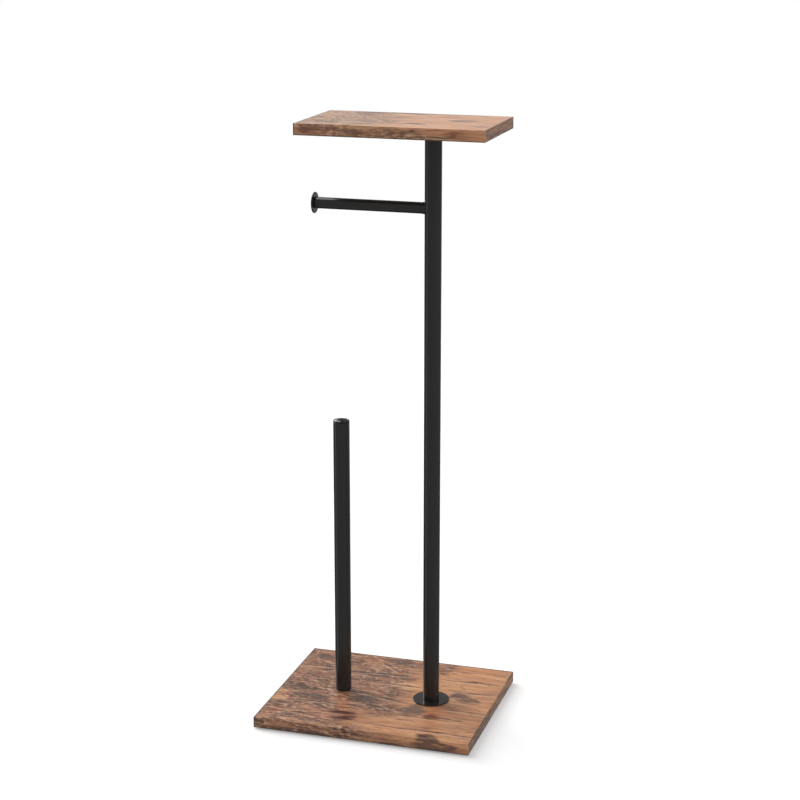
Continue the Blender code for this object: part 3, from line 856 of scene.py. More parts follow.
@dataclass(frozen=True)
class Studio:
    """The pale floor, the soft lights, the white surroundings and the camera, in metres and degrees."""

    azimuth: float = 16.85
    elevation: float = 15.36
    camera_place: tuple[float, float, float] = (0.730, -2.348, 1.1152)
    lens: float = 86.3
    sensor: float = 36.0
    nearest: float = 0.05
    floor_radius: float = 3.0
    floor_steps: int = 96
    floor_fade: tuple[float, float] = (1.6, 2.91)
    floor_bounce: float = 0.68
    floor_seen: float = 0.86
    floor_lift: float = 0.28
    surround: float = 0.37
    black_cloth: float = 0.03
    horizon_blur: float = 0.02
    panel_blur: float = 0.04
    panels: tuple[Panel, ...] = (
        Panel(-35.0, 55.0, 20.0, 0.03, 0.20, 0.8),
        Panel(-60.0, 22.0, 6.0, 0.26, 0.66, 5.6),
        Panel(-103.0, 9.0, 5.0, -0.9, 0.0, 0.4),
        Panel(24.0, 12.0, 6.0, -0.9, 0.0, 0.4),
        Panel(163.0, 110.0, 25.0, -0.95, 0.0, 0.30),
    )
    lights: tuple[SkyPanel, ...] = (
        SkyPanel("key", (-0.5, 0.2, 1.0), 32.0, 0.94),
        SkyPanel("fill", (0.9, -0.2, 0.5), 60.0, 0.6),
    )

    def make_camera(self) -> None:
        """Puts the camera at the photograph's viewing angle."""
        data = bpy.data.cameras.new("camera")
        data.lens = self.lens
        data.sensor_width = self.sensor
        data.clip_start = self.nearest
        camera = add_object("camera", data)
        azimuth, elevation = math.radians(self.azimuth), math.radians(self.elevation)
        out = math.cos(elevation)
        back = Vector((math.sin(azimuth) * out, -math.cos(azimuth) * out, math.sin(elevation)))
        camera.location = self.camera_place
        camera.rotation_euler = (-back).to_track_quat("-Z", "Y").to_euler()
        bpy.context.scene.camera = camera

    def make_floor(self) -> None:
        """Lays a pale round floor that fades out where the surroundings take over."""
        mesh = bpy.data.meshes.new("floor")
        turns = [math.tau * i / self.floor_steps for i in range(self.floor_steps)]
        rim = [(self.floor_radius * math.cos(turn), self.floor_radius * math.sin(turn), 0) for turn in turns]
        mesh.from_pydata(rim, [], [tuple(range(self.floor_steps))])
        floor = add_object("floor", mesh)
        material, add = new_material("studio_floor")
        position = add("TexCoord", out="Object")
        away = add("VectorMath", {0: position}, "Value", operation="LENGTH")
        edge = {"Value": away, "From Min": self.floor_fade[0], "From Max": self.floor_fade[1]}
        fade = add("MapRange", edge, interpolation_type="SMOOTHSTEP")
        rays = add("LightPath").node.outputs
        seen = rays["Is Camera Ray"]
        pale = {"Value": seen, "To Min": self.floor_bounce, "To Max": self.floor_seen}
        paint = add("BsdfDiffuse", {"Color": add("MapRange", pale)})
        # The picture is exposed for a white floor, so what the camera sees of it is lifted a little
        lift = add("Math", {0: seen, 1: self.floor_lift}, operation="MULTIPLY")
        glow = add("Emission", {"Strength": lift})
        lifted = add("AddShader", {0: paint, 1: glow})
        # Black cloth hangs where the steel would mirror the floor, which keeps its outlines dark
        unseen = add("Math", {0: rays["Is Glossy Ray"], 1: fade}, operation="MAXIMUM")
        clear = add("BsdfTransparent")
        shader = add("MixShader", {0: unseen, 1: lifted, 2: clear})
        add("OutputMaterial", {"Surface": shader})
        mesh.materials.append(material)

    def make_surroundings(self) -> None:
        """Fills the background with white, and lights the object from all round with a softer grey."""
        world = bpy.data.worlds.new("studio")
        world.use_nodes = True
        world.node_tree.nodes.clear()
        add = partial(add_node, world.node_tree)
        towards = add("TexCoord", out="Generated")
        level = add("SeparateXYZ", {0: towards}, "Z")
        flat = add("VectorMath", {0: towards, 1: (1.0, 1.0, 0.0)}, operation="MULTIPLY")
        compass = add("VectorMath", {0: flat}, operation="NORMALIZE")
        horizon = {"Value": level, "From Min": -self.horizon_blur, "From Max": self.horizon_blur}
        total = add("MapRange", horizon | {"To Min": self.black_cloth, "To Max": self.surround})
        for panel in self.panels:
            turn = math.radians(panel.compass)
            heading = {0: compass, 1: (math.sin(turn), math.cos(turn), 0.0)}
            sides = {
                "Value": add("VectorMath", heading, "Value", operation="DOT_PRODUCT"),
                "From Min": math.cos(math.radians(panel.half_width + panel.blur)),
                "From Max": math.cos(math.radians(max(panel.half_width - panel.blur, 0.0))),
                "To Max": panel.strength,
            }
            lit = add("MapRange", sides, interpolation_type="SMOOTHSTEP")
            for edge, blur in ((panel.bottom, self.panel_blur), (panel.top, -self.panel_blur)):
                ends = {"Value": level, "From Min": edge - blur, "From Max": edge + blur}
                inside = add("MapRange", ends)
                lit = add("Math", {0: lit, 1: inside}, operation="MULTIPLY")
            total = add("Math", {0: total, 1: lit}, operation="ADD")
        white = (1.0, 1.0, 1.0, 1.0)
        seen = add("LightPath", out="Is Camera Ray")
        backdrop = add("Background", {"Color": white, "Strength": 1.0})
        soft = add("Background", {"Color": white, "Strength": total})
        add("OutputWorld", {"Surface": add("MixShader", {0: seen, 1: soft, 2: backdrop})})
        bpy.context.scene.world = world

    def hang_lights(self) -> None:
        """Hangs the far panel lights."""
        for panel in self.lights:
            data = bpy.data.lights.new(panel.name, "SUN")
            data.angle = math.radians(panel.spread)
            data.energy = panel.power
            light = add_object(panel.name, data)
            light.rotation_euler = Vector(panel.towards).to_track_quat("Z", "Y").to_euler()

    def build(self) -> None:
        """Sets up the whole studio."""
        self.make_camera()
        self.make_floor()
        self.make_surroundings()
        self.hang_lights()
        bpy.context.scene.view_settings.view_transform = "Standard"


BASE_PRINT = RusticOakPaper(
    stains=(
        Mark(-122, 100, 60, 34), Mark(-74, 97, 36, 26), Mark(-28, 58, 92, 26, 4), Mark(-42, 38, 60, 16, 8),
        Mark(-14, 112, 70, 26), Mark(60, 94, 52, 38, 0, 0.7), Mark(-120, -12, 90, 30, -8),
        Mark(-100, -38, 84, 36, -6), Mark(-20, -24, 56, 40), Mark(-38, -79, 74, 38, 4, 0.5),
        Mark(-36, -95, 60, 16), Mark(99, 20, 50, 38, 12, 0.95), Mark(114, 9, 56, 34, -8),
        Mark(92, -119, 46, 30, -14, 0.9), Mark(96, -129, 56, 26), Mark(102, -139, 104, 38),
        Mark(50, -147, 70, 10), Mark(88, -56, 60, 14), Mark(-84, -144, 150, 16),
        Mark(-60, -180, 120, 12), Mark(70, -170, 80, 12),
    ),
    splits=(
        Mark(112, 34, 120, 5), Mark(8, -17, 90, 6, -12), Mark(118, -28, 100, 4), Mark(80, -101, 240, 6, -1),
        Mark(66, -63, 130, 4), Mark(86, -62, 44, 7), Mark(0, 64, 50, 9, 6), Mark(96, 70, 150, 5),
        Mark(112, 72, 30, 8), Mark(10, 33, 110, 5, -2), Mark(-62, -80, 200, 6, 2, 0.5),
        Mark(-84, -53, 110, 6, 2), Mark(-121, 65, 90, 6), Mark(-38, 62, 110, 5, 5),
        Mark(-39, -96, 80, 6, 2, 0.4), Mark(104, -102, 22, 8), Mark(118, -58, 24, 6),
        Mark(-30, -8, 90, 5, -4), Mark(-22, 90, 60, 5, -38),
    ),
    weathered=(
        Mark(-120, 10, 280, 420), Mark(-36, 30, 170, 300), Mark(-2, -50, 130, 76),
        Mark(-90, -140, 320, 130), Mark(14, 114, 160, 64),
    ),
    reds=(
        Mark(-48, -56, 46, 26), Mark(-38, -78, 70, 30), Mark(-46, 112, 50, 24), Mark(80, -52, 40, 26),
        Mark(18, 58, 24, 16), Mark(-134, -92, 46, 34), Mark(-132, -38, 26, 30),
    ),
    greys=(Mark(51, -45, 48, 58), Mark(-100, -36, 90, 32, -6, 0.5), Mark(-22, -28, 50, 40, 0, 0.5)),
    scorches=(
        Mark(-38, -76, 60, 30, 4, 1.3), Mark(-28, -86, 40, 30, 30, 0.9), Mark(-36, -96, 52, 18, 4, 1.2),
        Mark(84, -115, 30, 12, -24),
    ),
    bare=(Mark(-144, -44, 46, 50), Mark(20, 34, 60, 40, 0, 0.8)),
    shift=0.0,
)

TRAY_PRINT = RusticOakPaper(
    stains=(
        Mark(-56, 62, 80, 20), Mark(-10, 66, 90, 12), Mark(-62, 38, 50, 26, 0, 0.7),
        Mark(-45, -23, 60, 22, 0, 0.8), Mark(23, -33, 44, 22), Mark(77, 7, 60, 24),
        Mark(-101, -43, 40, 22, 0, 0.8), Mark(-84, -82, 60, 16, 0, 0.8), Mark(-46, -84, 40, 18, 0, 0.8),
        Mark(-110, -84, 30, 18, 0, 0.8), Mark(4, -84, 20, 10), Mark(20, -84, 10, 22),
        Mark(78, -84, 30, 16, 0, 0.8),
    ),
    splits=(
        Mark(80, 12, 50, 7), Mark(-60, -26, 90, 5), Mark(16, -38, 110, 6), Mark(10, 64, 220, 7),
        Mark(-20, 20, 90, 5), Mark(60, -90, 110, 4), Mark(30, -79, 12, 12),
    ),
    weathered=(Mark(-85, -10, 220, 230), Mark(-24, -96, 270, 70)),
    reds=(Mark(-100, -84, 90, 26), Mark(78, 6, 52, 30), Mark(90, -84, 60, 18), Mark(112, -40, 40, 30)),
    greys=(Mark(-58, 42, 46, 38), Mark(-45, -24, 44, 34, 0, 0.7), Mark(50, 42, 40, 34, 0, 0.6)),
    scorches=(
        Mark(-62, 61, 90, 18, 3, 1.2), Mark(-4, 63, 66, 15, 3, 1.2), Mark(24, -35, 36, 18, 0, 1.2),
        Mark(78, 8, 44, 20, 0, 0.9),
    ),
    bare=(),
    shift=37.0,
    tan="#e5a572",
    orange="#d0946b",
    rose="#b57254",
    umber="#bd8459",
    bark="#996343",
    smoke="#7a4630",
    grey="#a66e54",
    scorch="#63301f",
    fibre_and_highlight="#f6d2ae",
    stain_rim=(0.28, 0.7),
    ash="#484140",
    ash_cover=0.85,
    side_wash_cover=0.14,
    painted_side_light=1.03,
    carving=0.8,
)


@dataclass(frozen=True)
class PrintedBoard:
    """A board faced with the printed paper, and its four edge bands."""

    prefix: str
    paper: RusticOakPaper

    def dress(self) -> None:
        """Gives the board and its bands the print, which runs on over the sides."""
        low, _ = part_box(self.prefix + "_band_front")
        _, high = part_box(self.prefix + "_band_back")
        sheet = self.paper.sheet(self.prefix + "_rustic_oak_print")
        sides = {
            "board": Side.FACE,
            "band_front": Side.FRONT,
            "band_back": Side.BACK,
            "band_left": Side.LEFT,
            "band_right": Side.RIGHT,
        }
        for part, side in sides.items():
            node = f"{self.prefix}_{part}"
            dress(node, FacedSide(self.paper, sheet, low, high, side).material(f"rustic_oak_{node}"))


def dress(node: str, material: Material) -> None:
    """Gives a solid of the frame its finish, and shades its round faces smooth.

    Args:
        node: the solid's name.
        material: its finish.
    """
    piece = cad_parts[node]
    piece.data.materials.clear()
    piece.data.materials.append(material)
    normals = piece.data.attributes.get("custom_normal")
    if normals:
        piece.data.attributes.remove(normals)
    piece.data.shade_smooth()
    piece.modifiers.new("weld", "WELD").merge_threshold = WELD_DISTANCE
    piece.modifiers.new("creases", "EDGE_SPLIT").split_angle = SOLID_CREASE
    piece.modifiers.new("flats", "WEIGHTED_NORMAL").keep_sharp = True
    log.info("dressed %s", node)


class Outline(Enum):
    """The shape that a ring of a lofted piece has round its axis."""

    ROUND = "round"
    HEX = "hexagonal"
    CROSS = "cross"
    KNURL = "knurled"
    THREAD = "threaded"


@dataclass(frozen=True)
class Ring:
    """One ring of a lofted piece: its height on the axis, its largest radius, and its outline."""

    height: float
    radius: float
    outline: Outline = Outline.ROUND


@dataclass(frozen=True)
class Loft:
    """Skins a stack of rings into one closed piece, with threads, knurls and sockets where they are asked.

    All its sizes are in millimetres.
    """

    rings: Sequence[Ring]
    steps: int = 48
    pitch: float = 1.0
    thread_depth: float = 0.5
    knurl_depth: float = 0.18
    slot: float = 1.1
    hollow: bool = False

    def reach(self, ring: Ring, turn: float) -> float:
        """Works out how far a ring reaches at an angle.

        Args:
            ring: the ring.
            turn: the angle about the axis.

        Returns:
            The distance from the axis.
        """
        if ring.outline is Outline.HEX:
            sixth = math.tau / 6
            return ring.radius * math.cos(sixth / 2) / math.cos(turn % sixth - sixth / 2)
        if ring.outline is Outline.CROSS:
            quarter = math.tau / 4
            aside = abs((turn + quarter / 2) % quarter - quarter / 2)
            return min(ring.radius, self.slot / 2 / max(math.sin(aside), 1e-6))
        if ring.outline is Outline.KNURL:
            return ring.radius - self.knurl_depth * (round(turn / math.tau * self.steps) % 2)
        if ring.outline is Outline.THREAD:
            phase = (ring.height / self.pitch + turn / math.tau) % 1
            return ring.radius - self.thread_depth * abs(2 * phase - 1)
        return ring.radius

    def mesh(self, name: str, place: Matrix) -> bpy.types.Mesh:
        """Builds the mesh.

        Args:
            name: the mesh's name.
            place: where its axis stands in the scene, and its scale there.

        Returns:
            The mesh.
        """
        shape = bmesh.new()
        turns = [math.tau * i / self.steps for i in range(self.steps)]
        rows = []
        for ring in self.rings:
            polar = [(self.reach(ring, turn), turn) for turn in turns]
            rows.append([shape.verts.new((r * math.cos(t), r * math.sin(t), ring.height)) for r, t in polar])
        pairs = list(zip(rows, rows[1:]))
        if self.hollow:
            pairs.append((rows[-1], rows[0]))
        else:
            shape.faces.new(rows[0])
            shape.faces.new(rows[-1])
        for lower, upper in pairs:
            for i in range(self.steps):
                j = (i + 1) % self.steps
                shape.faces.new((lower[i], lower[j], upper[j], upper[i]))
        bmesh.ops.recalc_face_normals(shape, faces=shape.faces)
        for face in shape.faces:
            face.smooth = True
        for edge in shape.edges:
            edge.smooth = edge.calc_face_angle(0.0) < LOFT_CREASE
        mesh = bpy.data.meshes.new(name)
        shape.transform(place)
        shape.to_mesh(mesh)
        shape.free()
        return mesh


def stand_for(
    node: str, make: str, loft: Loft, material: Material, at: Vector | None = None, lean: float = 0.0
) -> None:
    """Puts a finely shaped piece where a plain solid of the frame is.

    Args:
        node: the solid that it stands for.
        make: how it is made, which its name starts with.
        loft: its shape.
        material: its finish.
        at: where its rings' heights start, in millimetres, or nothing for the floor below the solid's middle.
        lean: how far its axis is turned from upright towards +X.
    """
    if at is None:
        at = box_mm(node)[1] * Vector((1.0, 1.0, 0.0))
    name = f"{make}_{node}"
    place = Matrix.Translation(at * MM) @ Matrix.Rotation(lean, 4, "Y") @ Matrix.Scale(MM, 4)
    piece = add_object(name, loft.mesh(name, place))
    piece.data.materials.append(material)
    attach(piece, ROOT)
    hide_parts(node)
    log.info("made %s for %s", name, node)


def thread_rows(radius: float, start: float, end: float, pitch: float = 1.0) -> list[Ring]:
    """Lists the rings of a thread, eight to a turn.

    Args:
        radius: the thread's crest.
        start: the height where it starts.
        end: the height where it ends.
        pitch: the height of one turn.

    Returns:
        The rings, from the start to the end.
    """
    count = max(2, round(abs(end - start) / pitch * 8))
    return [Ring(start + (end - start) * i / count, radius, Outline.THREAD) for i in range(count + 1)]


# What the fasteners share, in millimetres. Under a key socket the drill leaves a short cone, which narrows to
# a share of the socket's radius. A screw's thread stops short of its tip, a nut's short of its flared mouths.
KEY_MOUTH_DEPTH, KEY_MOUTH_WIDTH = 0.2, 0.15
DRILL_CONE, DRILL_SHARE = 0.4, 0.3
BROKEN_EDGE = 0.1
TIP_RUN_OUT, TIP_CHAMFER = 0.6, 0.7
MOUTH_RUN_OUT, MOUTH_FLARE = 0.4, 0.5
THREAD_PLAY = 0.3


def hex_corner(flats: float) -> float:
    """Gives the radius at the corners of a hexagon.

    Args:
        flats: its size across the flats.

    Returns:
        The radius at its corners.
    """
    return flats / 2 / math.cos(math.pi / 6)


@dataclass(frozen=True)
class FootPads:
    """The four die-cut foam pads under the base board, whose cut edge is rounded and whose sole is dished."""

    edge: float = 0.6
    dish: tuple[tuple[float, float], ...] = ((0.05, 0.72), (0.12, 0.4))

    def build(self, foam: Material) -> None:
        """Makes the pads.

        Args:
            foam: their finish.
        """
        for corner in ("front_left", "front_right", "back_left", "back_right"):
            node = f"foot_pad_{corner}"
            low, _, high = box_mm(node)
            radius = (high.x - low.x) / 2
            rings = [Ring(high.z, radius), Ring(self.edge, radius)]
            for turn in (22.5, 45.0, 67.5, 90.0):
                down, inward = math.sin(math.radians(turn)), 1 - math.cos(math.radians(turn))
                rings.append(Ring(self.edge * (1 - down), radius - self.edge * inward))
            rings += [Ring(height, radius * share) for height, share in self.dish]
            stand_for(node, "die_cut", Loft(rings), foam)


@dataclass(frozen=True)
class FootBolt:
    """A socket-head bolt that comes up through the base board, with its washer."""

    prefix: str
    head_diameter: float = 10.0
    head_height: float = 6.0
    thread_diameter: float = 6.0
    socket_flats: float = 5.0
    socket_depth: float = 3.0
    socket_mouth: tuple[float, float] = (0.25, 0.2)
    socket_floor: float = 0.85
    chamfer: float = 0.5
    knurl_inset: float = 0.2
    seat_gap: float = 0.3
    washer_chamfer: float = 0.15
    washer_rounding: tuple[tuple[float, float], ...] = ((0.0, 0.25), (0.1, 0.08), (0.3, 0.0))

    def build(self, zinc: Material) -> None:
        """Makes the bolt and its washer.

        Args:
            zinc: their finish.
        """
        node = self.prefix + "_bolt"
        low, _, high = box_mm(node)
        bottom, seat, tip = low.z, low.z + self.head_height, high.z
        socket, floor = hex_corner(self.socket_flats), bottom + self.socket_depth
        head, shank, cut = self.head_diameter / 2, self.thread_diameter / 2, self.chamfer
        rings = (
            Ring(floor + DRILL_CONE, socket * DRILL_SHARE),
            Ring(floor, socket * self.socket_floor),
            Ring(floor, socket, Outline.HEX),
            Ring(bottom + self.socket_mouth[0], socket, Outline.HEX),
            Ring(bottom, socket + self.socket_mouth[1]),
            Ring(bottom, head - cut),
            Ring(bottom + cut * 0.3, head - cut * 0.3),
            Ring(bottom + cut, head),
            Ring(bottom + cut + self.knurl_inset, head, Outline.KNURL),
            Ring(seat - cut - self.knurl_inset, head, Outline.KNURL),
            Ring(seat - cut, head),
            Ring(seat, head - BROKEN_EDGE),
            Ring(seat, shank - BROKEN_EDGE / 2),
            *thread_rows(shank, seat + self.seat_gap, tip - TIP_RUN_OUT),
            Ring(tip, shank - TIP_CHAMFER),
        )
        stand_for(node, "threaded", Loft(rings), zinc)

        node = self.prefix + "_washer"
        low, _, high = box_mm(node)
        outside, bore = (high.x - low.x) / 2, shank + THREAD_PLAY
        rings = (
            Ring(high.z, bore),
            Ring(low.z + self.washer_chamfer, bore),
            Ring(low.z, bore + self.washer_chamfer),
            *(Ring(low.z + up, outside - inset) for up, inset in self.washer_rounding),
            Ring(high.z, outside),
        )
        stand_for(node, "stamped", Loft(rings, hollow=True), zinc)


@dataclass(frozen=True)
class ThreadedPlug:
    """A knurled plug that is pressed into a tube's end, with a thread through it."""

    node: str
    lying: bool = False
    thread_diameter: float = 6.0
    thread_depth: float = 0.3
    chamfer: float = 0.6

    def build(self, zinc: Material) -> None:
        """Makes the plug.

        Args:
            zinc: its finish.
        """
        low, middle, high = box_mm(self.node)
        out = (high - low) / 2
        radius, half, lean = (out.y, out.x, math.pi / 2) if self.lying else (out.x, out.z, 0.0)
        bore = self.thread_diameter / 2 + THREAD_PLAY
        rings = (
            Ring(-half, radius - self.chamfer),
            Ring(-half + self.chamfer, radius),
            Ring(-half + 2 * self.chamfer, radius, Outline.KNURL),
            Ring(half - 2 * self.chamfer, radius, Outline.KNURL),
            Ring(half - self.chamfer, radius),
            Ring(half, radius - self.chamfer),
            Ring(half, bore + MOUTH_FLARE),
            *thread_rows(bore + self.thread_depth, half - MOUTH_RUN_OUT, MOUTH_RUN_OUT - half),
            Ring(-half, bore + MOUTH_FLARE),
        )
        loft = Loft(rings, thread_depth=self.thread_depth, hollow=True)
        stand_for(self.node, "knurled", loft, zinc, middle, lean)


@dataclass(frozen=True)
class RodCap:
    """The crowned plug that closes the rod: a glossy dome in a rounded rim, on a finned stem."""

    seat_gap: float = 0.3
    rim_height: float = 1.6
    rim_edge: float = 0.9
    rim_lift: float = 0.2
    groove: float = 0.25
    dome_rows: int = 8
    core_radius: float = 8.25
    core_wall: float = 1.5
    core_chamfer: float = 0.3
    fins: int = 3
    fin_span: float = 13.0
    fin_inset: float = 1.5
    fin_tip: float = 0.4
    fin_root: float = 0.9

    def build(self, plastic: Material) -> None:
        """Makes the cap.

        Args:
            plastic: its finish.
        """
        low, _, high = box_mm("rod_cap")
        tube_top = box_mm("rod_tube")[2].z
        radius = (high.x - low.x) / 2
        seat = tube_top + self.seat_gap
        rim_top = seat + self.rim_height
        dome_edge = radius - 2 * self.rim_edge
        crown = high.z - rim_top
        curve = (dome_edge**2 + crown**2) / (2 * crown)
        outs = [dome_edge * i / self.dome_rows for i in range(1, self.dome_rows + 1)]
        rings = [Ring(high.z - curve + math.sqrt(curve**2 - out**2), out) for out in outs]
        rings.append(Ring(rim_top - self.groove, dome_edge + BROKEN_EDGE))
        for turn in (150.0, 120.0, 90.0, 60.0, 30.0, 0.0):
            down, inward = 1 - math.sin(math.radians(turn)), 1 - math.cos(math.radians(turn))
            height = rim_top + self.rim_lift - self.rim_edge * down
            rings.append(Ring(height, radius - self.rim_edge * inward))
        core, fin, hollow = self.core_radius, radius - self.fin_inset, self.core_chamfer + self.core_wall
        rings += [Ring(seat, radius), Ring(seat, core)]
        for i in range(self.fins):
            top = tube_top - (i + 0.5) * self.fin_span / self.fins
            rings += [Ring(top, core), Ring(top - BROKEN_EDGE, fin)]
            rings += [Ring(top - self.fin_tip, fin), Ring(top - self.fin_root, core)]
        rings += [
            Ring(low.z, core - self.core_chamfer),
            Ring(low.z, core - hollow),
            Ring(tube_top, core - hollow),
        ]
        stand_for("rod_cap", "crowned", Loft(rings, steps=96), plastic)


@dataclass(frozen=True)
class ArmFasteners:
    """The rivet nut in the pole's wall and the stud that draws the arm against its saddle."""

    thread_diameter: float = 6.0
    steps: int = 36
    stud_chamfer: float = 0.6
    socket_flats: float = 3.0
    socket_depth: float = 3.0
    sleeve_radius: float = 4.5
    flange_radius: float = 5.25
    flange_height: float = 0.8
    flange_edge: tuple[float, float] = (0.2, 0.25)
    fold_back: float = 4.9
    fold_length: float = 1.0
    fold_slope: float = 0.5
    nut_thread_depth: float = 0.3

    def build(self, zinc: Material) -> None:
        """Makes the stud and the rivet nut.

        Args:
            zinc: their finish.
        """
        shank, cut, lean = self.thread_diameter / 2, self.stud_chamfer, -math.pi / 2
        low, middle, high = box_mm("arm_stud")
        half = (high.x - low.x) / 2
        socket = hex_corner(self.socket_flats)
        rings = (
            Ring(-half, shank - cut),
            *thread_rows(shank, cut - half, half - cut),
            Ring(half, shank - cut),
            Ring(half, socket + KEY_MOUTH_WIDTH),
            Ring(half - KEY_MOUTH_DEPTH, socket, Outline.HEX),
            Ring(half - self.socket_depth, socket, Outline.HEX),
            Ring(half - self.socket_depth - DRILL_CONE, socket * DRILL_SHARE),
        )
        stand_for("arm_stud", "threaded", Loft(rings, steps=self.steps), zinc, middle, lean)

        low, middle, high = box_mm("arm_rivet_nut")
        bulge, length = (high.y - low.y) / 2, high.x - low.x
        wall = high.x - box_mm("pole_tube")[0].x
        bore, sleeve, flange = shank + THREAD_PLAY, self.sleeve_radius, self.flange_radius
        fold, slope = wall - self.fold_back, self.fold_slope
        rings = (
            Ring(0.0, bore + MOUTH_RUN_OUT),
            Ring(0.0, sleeve - BROKEN_EDGE),
            Ring(fold - slope, sleeve),
            Ring(fold, bulge),
            Ring(fold + self.fold_length, bulge),
            Ring(fold + self.fold_length + slope, sleeve),
            Ring(length - self.flange_height, sleeve),
            Ring(length - self.flange_height, flange),
            Ring(length - self.flange_edge[0], flange),
            Ring(length, flange - self.flange_edge[1]),
            Ring(length, bore + MOUTH_FLARE),
            *thread_rows(bore + self.nut_thread_depth, length - MOUTH_RUN_OUT, MOUTH_RUN_OUT),
        )
        loft = Loft(rings, steps=self.steps, thread_depth=self.nut_thread_depth, hollow=True)
        outer_end = Vector((high.x, middle.y, middle.z))
        stand_for("arm_rivet_nut", "threaded", loft, zinc, outer_end, lean)


@dataclass(frozen=True)
class TrayScrews:
    """The machine screw that draws the plate onto the pole, and the wood screws that hold the tray."""

    land: float = 0.3
    machine_shank: float = 3.0
    machine_socket_flats: float = 4.0
    machine_socket_depth: float = 2.0
    machine_thread_start: float = 4.0
    wood_shank: float = 2.0
    wood_pitch: float = 1.8
    wood_thread_depth: float = 0.55
    wood_thread_start: float = 3.0
    wood_taper: float = 1.3
    cross: tuple[tuple[float, float], ...] = ((1.5, 0.5), (1.2, 1.2), (0.3, 2.0), (0.0, 2.2))
    rounding: float = 0.08
    neck_inset: float = 0.3
    root_start: float = 2.4
    root_inset: float = 0.45
    point: float = 3.0
    point_radius: float = 0.15
    point_rows: int = 12

    def build(self, zinc: Material) -> None:
        """Makes the screws.

        Args:
            zinc: their finish.
        """
        low, _, high = box_mm("plate_screw")
        head, shank, top, tip = (high.x - low.x) / 2, self.machine_shank, high.z, low.z
        socket, floor = hex_corner(self.machine_socket_flats), top - self.machine_socket_depth
        rings = (
            Ring(floor - DRILL_CONE, socket * DRILL_SHARE),
            Ring(floor, socket, Outline.HEX),
            Ring(top - KEY_MOUTH_DEPTH, socket, Outline.HEX),
            Ring(top, socket + KEY_MOUTH_WIDTH),
            Ring(top, head - BROKEN_EDGE),
            Ring(top - BROKEN_EDGE, head),
            Ring(top - self.land, head),
            Ring(top - self.land - head + shank, shank),
            *thread_rows(shank, top - self.machine_thread_start, tip + TIP_RUN_OUT),
            Ring(tip, shank - TIP_CHAMFER),
        )
        stand_for("plate_screw", "countersunk", Loft(rings), zinc)

        for number in range(1, 5):
            node = f"tray_screw_{number}"
            low, _, high = box_mm(node)
            head, shank, bottom, tip = (high.x - low.x) / 2, self.wood_shank, low.z, high.z
            tapers = [i / self.point_rows for i in range(1, self.point_rows)]
            neck = self.neck_inset
            rings = (
                *(Ring(bottom + depth, radius, Outline.CROSS) for depth, radius in self.cross),
                Ring(bottom, head - BROKEN_EDGE),
                Ring(bottom + self.rounding, head),
                Ring(bottom + self.land, head),
                Ring(bottom + self.land + head - shank - neck, shank - neck),
                Ring(bottom + self.root_start, shank - self.root_inset),
                *thread_rows(shank, bottom + self.wood_thread_start, tip - self.point, self.wood_pitch),
                *(
                    Ring(tip - self.point * (1 - share), shank - self.wood_taper * share, Outline.THREAD)
                    for share in tapers
                ),
                Ring(tip, self.point_radius),
            )
            loft = Loft(rings, pitch=self.wood_pitch, thread_depth=self.wood_thread_depth)
            stand_for(node, "cross_head", loft, zinc)


@dataclass(frozen=True)
class Finishes:
    """The finishes that the sub-assemblies share."""

    coat: Material
    flat_coat: Material
    plastic: Material
    foam: Material
    zinc: Material

    @classmethod
    def make(cls) -> "Finishes":
        """Builds each material once.

        Returns:
            The finishes.
        """
        flat = BlackPowderCoat(coat="#262220", roughness=(0.06, 0.14))
        return cls(
            coat=BlackPowderCoat().material("black_powder_coat"),
            flat_coat=flat.material("black_powder_coat_on_flat_plate"),
            plastic=MouldedCapPlastic().material("moulded_cap_plastic"),
            foam=PadFoam().material("eva_pad_foam"),
            zinc=ZincPlate().material("zinc_plate"),
        )


@dataclass(frozen=True)
class Base:
    """The base board, its edge bands and its foam pads."""

    board: PrintedBoard = PrintedBoard("base", BASE_PRINT)
    pads: FootPads = FootPads()

    def build(self, finishes: Finishes) -> None:
        """Dresses the board and makes the pads, with the shared finishes."""
        self.board.dress()
        self.pads.build(finishes.foam)


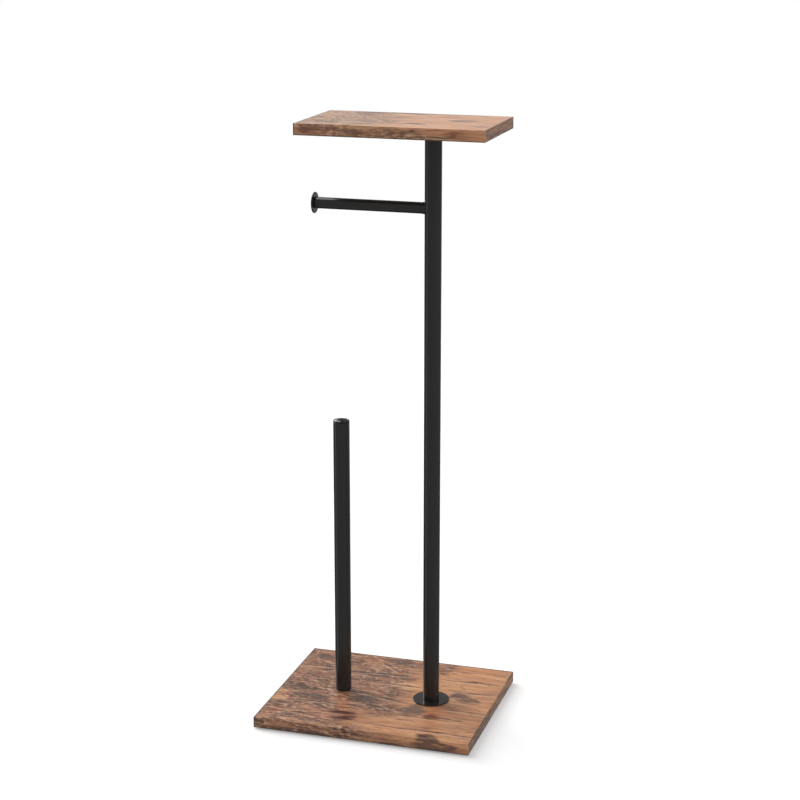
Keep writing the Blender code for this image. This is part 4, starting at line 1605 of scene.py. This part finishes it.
@dataclass(frozen=True)
class Pole:
    """The tall tube on its flange, with the bolt that holds it and the plugs in its ends."""

    bolt: FootBolt = FootBolt("pole")
    plugs: tuple[ThreadedPlug, ...] = (ThreadedPlug("pole_foot_plug"), ThreadedPlug("pole_top_plug"))

    def build(self, finishes: Finishes) -> None:
        """Dresses the tube and the flange, and makes the bolt and the plugs.

        Args:
            finishes: the shared finishes.
        """
        dress("pole_tube", finishes.coat)
        dress("pole_flange", finishes.flat_coat)
        for fastener in (self.bolt, *self.plugs):
            fastener.build(finishes.zinc)


@dataclass(frozen=True)
class Rod:
    """The short tube for spare rolls, with its bolt, its plug and its crowned cap."""

    bolt: FootBolt = FootBolt("rod")
    plug: ThreadedPlug = ThreadedPlug("rod_foot_plug")
    cap: RodCap = RodCap()

    def build(self, finishes: Finishes) -> None:
        """Dresses the tube, and makes the bolt, the plug and the cap.

        Args:
            finishes: the shared finishes.
        """
        dress("rod_tube", finishes.coat)
        self.bolt.build(finishes.zinc)
        self.plug.build(finishes.zinc)
        self.cap.build(finishes.plastic)


@dataclass(frozen=True)
class Arm:
    """The roll arm on its coped saddle, with its end disc and the joint inside."""

    plug: ThreadedPlug = ThreadedPlug("arm_plug", lying=True)
    fasteners: ArmFasteners = ArmFasteners()

    def build(self, finishes: Finishes) -> None:
        """Dresses the tube, the saddle and the disc, and makes the plug and the fasteners.

        Args:
            finishes: the shared finishes.
        """
        for node in ("arm_tube", "arm_saddle", "arm_end_disc"):
            dress(node, finishes.coat)
        self.plug.build(finishes.zinc)
        self.fasteners.build(finishes.zinc)


@dataclass(frozen=True)
class Tray:
    """The tray board on its round plate, and the screws that hold them."""

    board: PrintedBoard = PrintedBoard("tray", TRAY_PRINT)
    screws: TrayScrews = TrayScrews()

    def build(self, finishes: Finishes) -> None:
        """Dresses the board and the plate, and makes the screws.

        Args:
            finishes: the shared finishes.
        """
        self.board.dress()
        dress("tray_plate", finishes.coat)
        self.screws.build(finishes.zinc)


def main() -> None:
    """Builds the studio and each sub-assembly."""
    logging.basicConfig(level=logging.INFO, format="%(name)s: %(message)s")
    Studio().build()
    finishes = Finishes.make()
    for assembly in (Base(), Pole(), Rod(), Arm(), Tray()):
        assembly.build(finishes)


if __name__ == "__main__":
    main()
